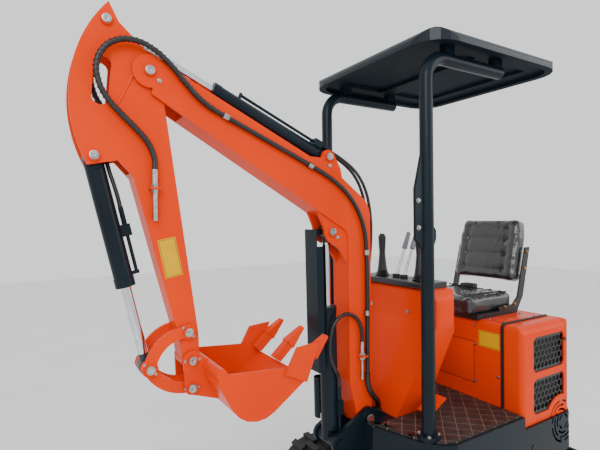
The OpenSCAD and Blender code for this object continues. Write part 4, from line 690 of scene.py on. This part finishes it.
# Black dipped wire mesh, glossy on the strands, with a skin of under 2 mm.
mesh_black, tree, shader, place = surface("dipped_mesh", Roughness=0.35)
mottle(tree, shader, place, "#090a0b", "#151617", 40)
grain(tree, shader, place, 600, 0.00006)
dress(mesh_black, "hood_grilles")
dress(gland_rubber, "hood_seals")


def panel(low, high, rim=0.0006):
    """A thin plate between two corners in millimetres, its edges broken by a rim in metres."""
    low, high = line([low, high])
    bpy.ops.object.select_all(action="DESELECT")
    bpy.ops.mesh.primitive_cube_add(size=1, location=(low + high) / 2)
    made = bpy.context.object
    made.scale = high - low
    bpy.ops.object.transform_apply(location=True, rotation=True, scale=True)
    softened(made, rim)
    return made


for side, sign in (("left", 1), ("right", -1)):
    inner_y, outer_y = sorted((sign * 404, sign * 408))
    foam = panel((-484, inner_y, 622), (-226, outer_y, 984), rim=0.001)
    dressed(foam, f"grille_foam_{side}", "upper", gland_rubber, "black_plastic")
    plug(f"cowl_plug_{side}", "upper", f"{side}_cowl", (-486.5, sign * 428, 940), (0, sign, 0),
         radius=0.0085, material=gland_rubber)

# Thin cover plates, each on a black strip that shows round it as painted shade, standing for the shadow in the seam.
front_x, top_z = -145, 1032
sunk, proud, seam_gap, seam_step = 1, 1.6, 3, 1.1
for name, low, high, thin in (
        ("front_cover", (front_x - sunk, -176, 724), (front_x + proud, 176, 921), 0),
        ("top_cover_left", (-441, 226, top_z - sunk), (-184, 314, top_z + proud), 2),
        ("top_cover_right", (-441, -314, top_z - sunk), (-184, -226, top_z + proud), 2)):
    low, high = Vector(low), Vector(high)
    gap = Vector([0 if i == thin else seam_gap for i in range(3)])
    shadow_strip_high = high + gap
    shadow_strip_high[thin] = high[thin] - seam_step
    # The black strip is painted shade: its rim stands for the shadow in the gap round the plate.
    dressed(panel(low - gap, shadow_strip_high), f"{name}_seam", "upper", gland_rubber, "black_plastic")
    dressed(panel(low, high), name, "upper", orange, "orange_paint")

fore, up = (1, 0, 0), (0, 0, 1)
front_spots = ((184, 1005), (184, 912), (184, 732), (310, 786))
top_spots = ((-434, 232), (-434, 308), (-190, 232), (-190, 308), (-206, 165))
box_spots = [("seat_box", (front_x, sign * y, z), fore, 0.008) for y, z in front_spots for sign in (1, -1)]
box_spots += [("seat_box", (x, sign * y, top_z), up, 0.007) for x, y in top_spots for sign in (1, -1)]
bolts("box_bolts", "upper", box_spots, zinc)

latch = panel((-559, -40, 652), (-552, 40, 696), rim=0.003)
dressed(latch, "hood_latch", "hood", gland_rubber, "black_plastic")

# Yellow printed film, a little uneven in its ink over about 50 mm.
sticker_yellow, tree, shader, place = surface("sticker_yellow", Roughness=0.35, Specular_IOR_Level=0.08)
mottle(tree, shader, place, "#cc9900", "#d8a300", 20)


def sticker(name, body, node, point, out, wide, high, tilt=0):
    """A blank sticker on a CAD node's face, with a black line inside its rim; metres, tilt in degrees."""
    bpy.ops.object.select_all(action="DESELECT")
    bpy.ops.mesh.primitive_cube_add(size=1, location=(0, 0, 0))
    made = bpy.context.object
    made.scale = (wide, high, 0.0012)
    bpy.ops.object.transform_apply(location=True, rotation=True, scale=True)
    softened(made, 0.0002)
    made.data.materials.append(sticker_yellow)
    made.data.materials.append(gland_rubber)
    pick_faces(made, lambda face: face.normal.z > 0.99)
    for rim, material_index in ((0.003, 1), (0.0016, 0)):
        bpy.ops.mesh.inset(thickness=rim)
        made.active_material_index = material_index
        bpy.ops.object.material_slot_assign()
    bpy.ops.object.mode_set(mode="OBJECT")
    made.matrix_world = seat_on(node, point, out) @ Matrix.Rotation(radians(tilt), 4, "Z")
    return dressed(made, name, body, sticker_yellow, "vinyl")


sticker("blank_sticker", "upper", "seat_box", (front_x, 261, 946), fore, wide=0.114, high=0.076)

# Seat
# Foam cushion and back in sewn black vinyl, still in the clear film that they were delivered in.
# Both screw to a folded base and two side brackets of black plate; a webbing belt lies across the cushion.
# Black powder coat with a peel of over 2 mm.
black_plate, tree, shader, place = surface("powder_black")
noise = mottle(tree, shader, place, "#0b0c0d", "#151618", 14)
rough_between(tree, shader, noise, 0.36, 0.52)
rounded_edges(tree, shader, place, 420, 0.00008)
dress(black_plate, "seat_base")
# Leather grain of about 2 mm under a clear film, whose creases of 20 to 60 mm catch the light.
film_vinyl, tree, shader, place = surface("vinyl_in_film", Roughness=0.5, Coat_Weight=0.8,
                                          Coat_Roughness=0.07)
mottle(tree, shader, place, "#0c0d0e", "#17181a", 16)
grain(tree, shader, place, 480, 0.00012)
pull_way = (radians(35), radians(12), radians(20))
pulled = add(tree, "ShaderNodeMapping", {"Vector": place, "Rotation": pull_way, "Scale": (1, 2.6, 0.8)})
crease = add(tree, "ShaderNodeTexNoise",
             {"Vector": pulled.outputs["Vector"], "Scale": 17, "Detail": 2, "Distortion": 1.4},
             noise_type="RIDGED_MULTIFRACTAL")
film = add(tree, "ShaderNodeBump", {"Height": crease.outputs["Fac"], "Distance": 0.006, "Strength": 0.5})
tree.links.new(film.outputs["Normal"], shader.inputs["Coat Normal"])


def pad(name, node, cap):
    """A padded copy of a CAD cushion: shrunk, filled by pressure up to a cap in metres, and smoothed."""
    made = bpy.data.objects.new(name, nodes[node].data.copy())
    bpy.context.scene.collection.objects.link(made)
    only(made)
    bpy.ops.object.mode_set(mode="EDIT")
    bpy.ops.mesh.select_all(action="SELECT")
    bpy.ops.mesh.remove_doubles(threshold=0.00001)
    bpy.ops.transform.shrink_fatten(value=-0.003)
    bpy.ops.object.mode_set(mode="OBJECT")
    remesh = made.modifiers.new("even_mesh", "REMESH")
    remesh.mode = "VOXEL"
    remesh.voxel_size = 0.006
    bpy.ops.object.modifier_apply(modifier=remesh.name)
    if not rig.quick():
        start = [v.co.copy() for v in made.data.vertices]
        cloth = made.modifiers.new("foam", "CLOTH")
        cloth.settings.use_pressure = True
        cloth.settings.uniform_pressure_force = 4
        cloth.settings.effector_weights.gravity = 0
        for step in range(1, 21):
            bpy.context.scene.frame_set(step)
        bpy.ops.object.modifier_apply(modifier=cloth.name)
        bpy.context.scene.frame_set(1)
        for vertex, was in zip(made.data.vertices, start):
            moved = vertex.co - was
            vertex.co = was + moved * min(1, cap / max(moved.length, 0.000001))
    even = made.modifiers.new("even", "SMOOTH")
    even.factor = 0.5
    even.iterations = 6
    bpy.ops.object.modifier_apply(modifier=even.name)
    finer = made.modifiers.new("finer", "SUBSURF")
    finer.levels = finer.render_levels = 1
    bpy.ops.object.modifier_apply(modifier=finer.name)
    return made


def sewn_channel(piece, reach, width, pull):
    """Pulls in the points that a test finds along a seam, with the foam round them following."""
    only(piece)
    bpy.ops.object.mode_set(mode="EDIT")
    bpy.context.tool_settings.mesh_select_mode = (True, False, False)
    bpy.ops.mesh.select_all(action="DESELECT")
    bpy.ops.object.mode_set(mode="OBJECT")
    for vertex in piece.data.vertices:
        vertex.select = reach(vertex)
    bpy.ops.object.mode_set(mode="EDIT")
    bpy.ops.transform.translate(value=pull, use_proportional_edit=True, proportional_edit_falloff="SHARP",
                                proportional_size=width)
    bpy.ops.object.mode_set(mode="OBJECT")


swelling, foam_fill = 0.012, 0.8
lean = radians(14)
back_foot = line([(-477, 0, 1176)])[0]
back_up = Vector((-sin(lean), 0, cos(lean)))
back_out = Vector((cos(lean), 0, sin(lean)))
back_pad = pad("seat_back_pad", "seat_back", swelling)


def back_seam(height_from, height_to, side_from, side_to):
    """A test for points on the back's front, between two heights and two distances from its middle."""
    def test(vertex):
        height = (vertex.co - back_foot).dot(back_up)
        return (vertex.normal.dot(back_out) > 0.5 and height_from <= height <= height_to
                and side_from <= abs(vertex.co.y) <= side_to)
    return test


half_seam = 0.0018
for height in (0.062, 0.148, 0.234):
    cross_seam = back_seam(height - half_seam, height + half_seam, 0, 0.122)
    sewn_channel(back_pad, cross_seam, width=0.034, pull=-back_out * 0.008)
for edge_seam in (back_seam(0.066, 0.298, 0.1205, 0.1235), back_seam(0.3, 0.3035, 0, 0.118)):
    sewn_channel(back_pad, edge_seam, width=0.03, pull=-back_out * 0.006)
cushion_pad = pad("seat_cushion_pad", "seat_cushion", swelling)
seat_middle, seam_half = slew_x - 0.272, 0.15
for sign in (1, -1):
    sewn_channel(cushion_pad, lambda v: (v.normal.z > 0.5 and 0.1385 <= sign * v.co.y <= 0.1415
                                         and abs(v.co.x - seat_middle) < seam_half),
                 width=0.03, pull=(0, 0, -0.006))
for piece, node in ((back_pad, "seat_back"), (cushion_pad, "seat_cushion")):
    piece.data.materials.clear()
    dressed(piece, piece.name, "upper", film_vinyl, "vinyl", angle=80)
    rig.replaces(piece, node)
    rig.padded(piece, fill=foam_fill)

# Black woven webbing, drawn as ribs of about 4 mm so that they show.
webbing, tree, shader, place = surface("belt_webbing", Roughness=0.8)
ribs = add(tree, "ShaderNodeTexWave", {"Vector": place, "Scale": 80, "Distortion": 0.4}, bands_direction="X")
tree.links.new(blended(tree, ribs.outputs["Fac"], "#0b0b0c", "#1d1d1f"), shader.inputs["Base Color"])
weave = add(tree, "ShaderNodeBump", {"Height": ribs.outputs["Fac"], "Distance": 0.0006})
tree.links.new(weave.outputs["Normal"], shader.inputs["Normal"])
# The belt lies across the cushion in loose rucks, which are higher on its right half.
belt_x, belt_wide, belt_long, cushion_top = slew_x - 0.402, 0.046, 0.33, 1.128
bpy.ops.object.select_all(action="DESELECT")
bpy.ops.mesh.primitive_grid_add(x_subdivisions=6, y_subdivisions=90, size=1)
belt = bpy.context.object
for vertex in belt.data.vertices:
    share, side = vertex.co.y, vertex.co.x
    ruck = 0.5 + 0.5 * cos(share * 26)
    lift = 0.004 + 0.012 * ruck * (1 if share < -0.05 else 0.25) + 0.004 * sin(share * 41 + side * 3)
    vertex.co = (belt_x + side * belt_wide + 0.008 * sin(share * 9), share * belt_long, cushion_top + lift)
cover = belt.modifiers.new("webbing", "SOLIDIFY")
cover.thickness = 0.0022
cover.offset = 1
bpy.ops.object.modifier_apply(modifier=cover.name)
dressed(belt, "seat_belt", "upper", webbing, "vinyl", angle=60)
buckle = panel((-434, -92, 1134), (-378, -14, 1158), rim=0.006)
dressed(buckle, "belt_buckle", "upper", black_plate, "black_plastic")
# Yellow passivated bolts hold the brackets.
passivated, tree, shader, place = surface("passivated_zinc", Metallic=1, Roughness=0.34)
mottle(tree, shader, place, "#8f6a3c", "#b98a54", 50)
bracket_y, bracket_spots = 208, ((-540, 1340), (-517, 1257), (-345, 1072), (-427, 1080))
seat_spots = [("seat_base", (x, sign * bracket_y, z), (0, sign, 0), 0.0085)
              for sign in (1, -1) for x, z in bracket_spots]
bolts("seat_bolts", "upper", seat_spots, passivated)

# Console and controls
# A steel console, sprayed orange, stands on the deck behind the boom, and a moulded black dash caps it.
# Through the dash come two joysticks in rubber boots and two travel levers; pedals stand at its foot.
dress(orange, "console", "foot_pedals")
bolts("console_bolts", "upper", [("console", (240, sign * 123, 1105), fore, 0.009) for sign in (1, -1)], zinc)
# Moulded black plastic with a spark-eroded skin of about 1.5 mm.
black_mould, tree, shader, place = surface("moulded_black")
noise = mottle(tree, shader, place, "#101113", "#191a1d", 14)
rough_between(tree, shader, noise, 0.32, 0.48)
rounded_edges(tree, shader, place, 700, 0.00006)
dress(black_mould, "dash_panel", "joysticks")
# Plated rods, grey grips above and black rubber boots below, told apart by height.
grip_foot, boot_top = 1.374, 1.256
levers, tree, shader, place = surface("lever_plating")
height = add(tree, "ShaderNodeSeparateXYZ", {"Vector": place}).outputs["Z"]
grip = calc(tree, "GREATER_THAN", height, grip_foot)
boot = calc(tree, "LESS_THAN", height, boot_top)
clouds = add(tree, "ShaderNodeTexNoise", {"Vector": place, "Scale": 40, "Detail": 3}).outputs["Fac"]
plated = blended(tree, clouds, "#a2a5a6", "#cfd1d1")
gripped = blended(tree, grip, plated, "#6f7276")
tree.links.new(blended(tree, boot, gripped, "#0f1011"), shader.inputs["Base Color"])
bare = calc(tree, "SUBTRACT", 1.0, calc(tree, "MAXIMUM", grip, boot))
tree.links.new(bare, shader.inputs["Metallic"])
rough_between(tree, shader, bare, 0.55, 0.25)
grain(tree, shader, place, 500, 0.00005)
dress(levers, "travel_levers")

# Canopy
# Bent steel tubes, welded to flanges and spliced by bolted plates, carry a vacuum-formed roof with a gutter.
# The tubes are sprayed in the frame's dark coat; the roof is plastic of the same colour.
dress(dark, "post_left", "post_right")
# The sheet is glossy on its outer face and matt inside, where the mould did not touch it.
roof_plastic, tree, shader, place = surface("roof_plastic", Coat_Roughness=0.08)
mottle(tree, shader, place, "#0a151b", "#101d25", 3)
normal = add(tree, "ShaderNodeNewGeometry").outputs["Normal"]
facing = add(tree, "ShaderNodeSeparateXYZ", {"Vector": normal}).outputs["Z"]
turned_out = add(tree, "ShaderNodeMapRange", {"Value": facing, "From Min": -0.6, "From Max": -0.2})
outward = turned_out.outputs["Result"]
for socket, inside, outside in (("Roughness", 0.6, 0.38), ("Specular IOR Level", 0.05, 0.2),
                                ("Coat Weight", 0, 0.12)):
    level = add(tree, "ShaderNodeMapRange", {"Value": outward, "To Min": inside, "To Max": outside})
    tree.links.new(level.outputs["Result"], shader.inputs[socket])
rounded_edges(tree, shader, place, 240, 0.00004, 0.003)
dress(roof_plastic, "canopy_roof")
flange_x, flange_y, flange_ring, flange_top = 350, 340, 37, 672
splice_x, splice_rows = 405, (1594, 1488)
for side, sign in (("left", 1), ("right", -1)):
    post = f"post_{side}"
    spots = []
    for turn in (45, 135, 225, 315):
        across, aside = flange_ring * cos(radians(turn)), flange_ring * sin(radians(turn))
        spots.append((post, (flange_x + across, sign * (flange_y + aside), flange_top), up, 0.009))
    for way, face_y in ((sign, 346), (-sign, 334)):
        spots += [(post, (splice_x, sign * face_y, z), (0, way, 0), 0.01) for z in splice_rows]
    bolts(f"post_bolts_{side}", "upper", spots, zinc)

# Boom and its cylinders
# A bent box beam of welded plate, sprayed orange, turns on a pin in the frame's ears.
# Dark cylinders with chromed rods move it and the arm; plated clamps and blocks carry the hoses on its sides.
foot_pin, boom_rod_pin, arm_barrel_pin, arm_pin = (436, 650), (605, 1473), (617, 1789), (1350, 2029)
arm_rod_pin = (1480, 2177)
dress(orange, "boom")
dress(dark, "boom_barrel", "arm_barrel", "rod_guard")
dress(cylinder_rod("boom_rod_chrome", (boom_rod_pin[0], 0, boom_rod_pin[1])), "boom_rod")
dress(cylinder_rod("arm_rod_chrome", (arm_rod_pin[0], 0, arm_rod_pin[1])), "arm_rod")
dress(zinc, "boom_fittings")
# One pin end of radius 1, with a small dimple from the lathe's centre, which is copied to every size.
bpy.ops.object.select_all(action="DESELECT")
bpy.ops.mesh.primitive_cylinder_add(vertices=32, radius=1, depth=0.5, location=(0, 0, 0))
pin_end = bpy.context.object
pick_faces(pin_end, lambda face: face.normal.z > 0.9)
bpy.ops.mesh.inset(thickness=0.72)
bpy.ops.mesh.inset(thickness=0.08, depth=-0.12)
bpy.ops.object.mode_set(mode="OBJECT")
softened(pin_end, 0.09)


def both_faces(node, points, y, radius):
    """Spots on a node's left and right faces."""
    return [(node, (x, sign * y, z), (0, sign, 0), radius) for sign in (1, -1) for x, z in points]


boom_pins = both_faces("boom", (arm_pin, arm_barrel_pin, boom_rod_pin), 60, 0.016)
bolts("boom_pins", "boom", boom_pins, zinc, pin_end)
bolts("foot_pin_ends", "upper", both_faces("upper_frame", (foot_pin,), 80, 0.02), zinc, pin_end)
bolts("boom_bolts", "boom", both_faces("boom", ((1318, 2000), (612, 1752), (575, 1448)), 55, 0.008), zinc)
# Red anodised grease cap in the foot pin.
grease_red, tree, shader, place = surface("grease_cap_red", Roughness=0.4)
mottle(tree, shader, place, "#a30f10", "#c41a18", 60)
for side, sign in (("left", 1), ("right", -1)):
    plug(f"grease_cap_{side}", "upper", "upper_frame", (foot_pin[0], sign * 85, foot_pin[1]), (0, sign, 0),
         radius=0.009, material=grease_red, thick=0.012)

# Arm and bucket
# The arm is a welded box with a deep web, sprayed orange.
# A rocker and a curved link couple the bucket to its cylinder.
# The bucket is rolled plate with cast teeth bolted to its lip, all in the same coat.
bucket_barrel_pin, rocker_pin, bucket_pin = (1524, 1738), (1232, 1138), (1219, 1037)
bucket_rod_pin, link_pin = (1364, 1030), (1222, 941)
dress(orange, "arm", "rocker", "bucket_link", "bucket", "bucket_teeth")
dress(dark, "bucket_barrel")
dress(cylinder_rod("bucket_rod_chrome", (bucket_rod_pin[0], 0, bucket_rod_pin[1])), "bucket_rod")
dress(zinc, "arm_fittings")
arm_pins = both_faces("arm", (arm_rod_pin, bucket_barrel_pin, rocker_pin, bucket_pin), 60, 0.015)
bolts("arm_pins", "arm", arm_pins, zinc, pin_end)
rocker_keepers = both_faces("rocker", ((1250, 1155), (1214, 1121), (1382, 1047), (1346, 1013)), 58, 0.005)
bolts("rocker_keepers", "rocker", rocker_keepers, zinc)
bucket_keepers = both_faces("bucket", ((1245, 1037), (1193, 1037), (1246, 941), (1198, 941)), 58, 0.005)
bolts("bucket_keepers", "bucket", bucket_keepers, zinc)
bolts("rocker_pins", "rocker", both_faces("rocker", (bucket_rod_pin,), 64, 0.015), zinc, pin_end)
bolts("link_pins", "bucket", both_faces("bucket", (link_pin,), 64, 0.015), zinc, pin_end)
# The ridge of weld down the arm's side plates, where the boom's fork runs past it.
weld_y = 41
weld_route = ((1381, 2050), (1400, 2012), (1419, 1972), (1437, 1934), (1453, 1901))
weld_line = [(x, weld_y, z) for x, z in weld_route]
for side, way in (("left", list), ("right", mirrored)):
    bead, middle = hose(f"arm_weld_{side}", line(way(weld_line)), 0.005)
    dressed(bead, f"arm_weld_{side}", "arm", orange, "orange_paint", angle=60)
sticker("blank_arm_sticker", "arm", "arm", (1287, 42, 1400), (0, 1, 0), wide=0.062, high=0.136,
        tilt=11)
bpy.data.objects.remove(pin_end)
bpy.data.objects.remove(bolt_head)

low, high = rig.bounds()
with open("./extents.json", "w") as sizes:
    json.dump({"cad": [list(cad_low), list(cad_high)], "visual": [list(low), list(high)]}, sizes)
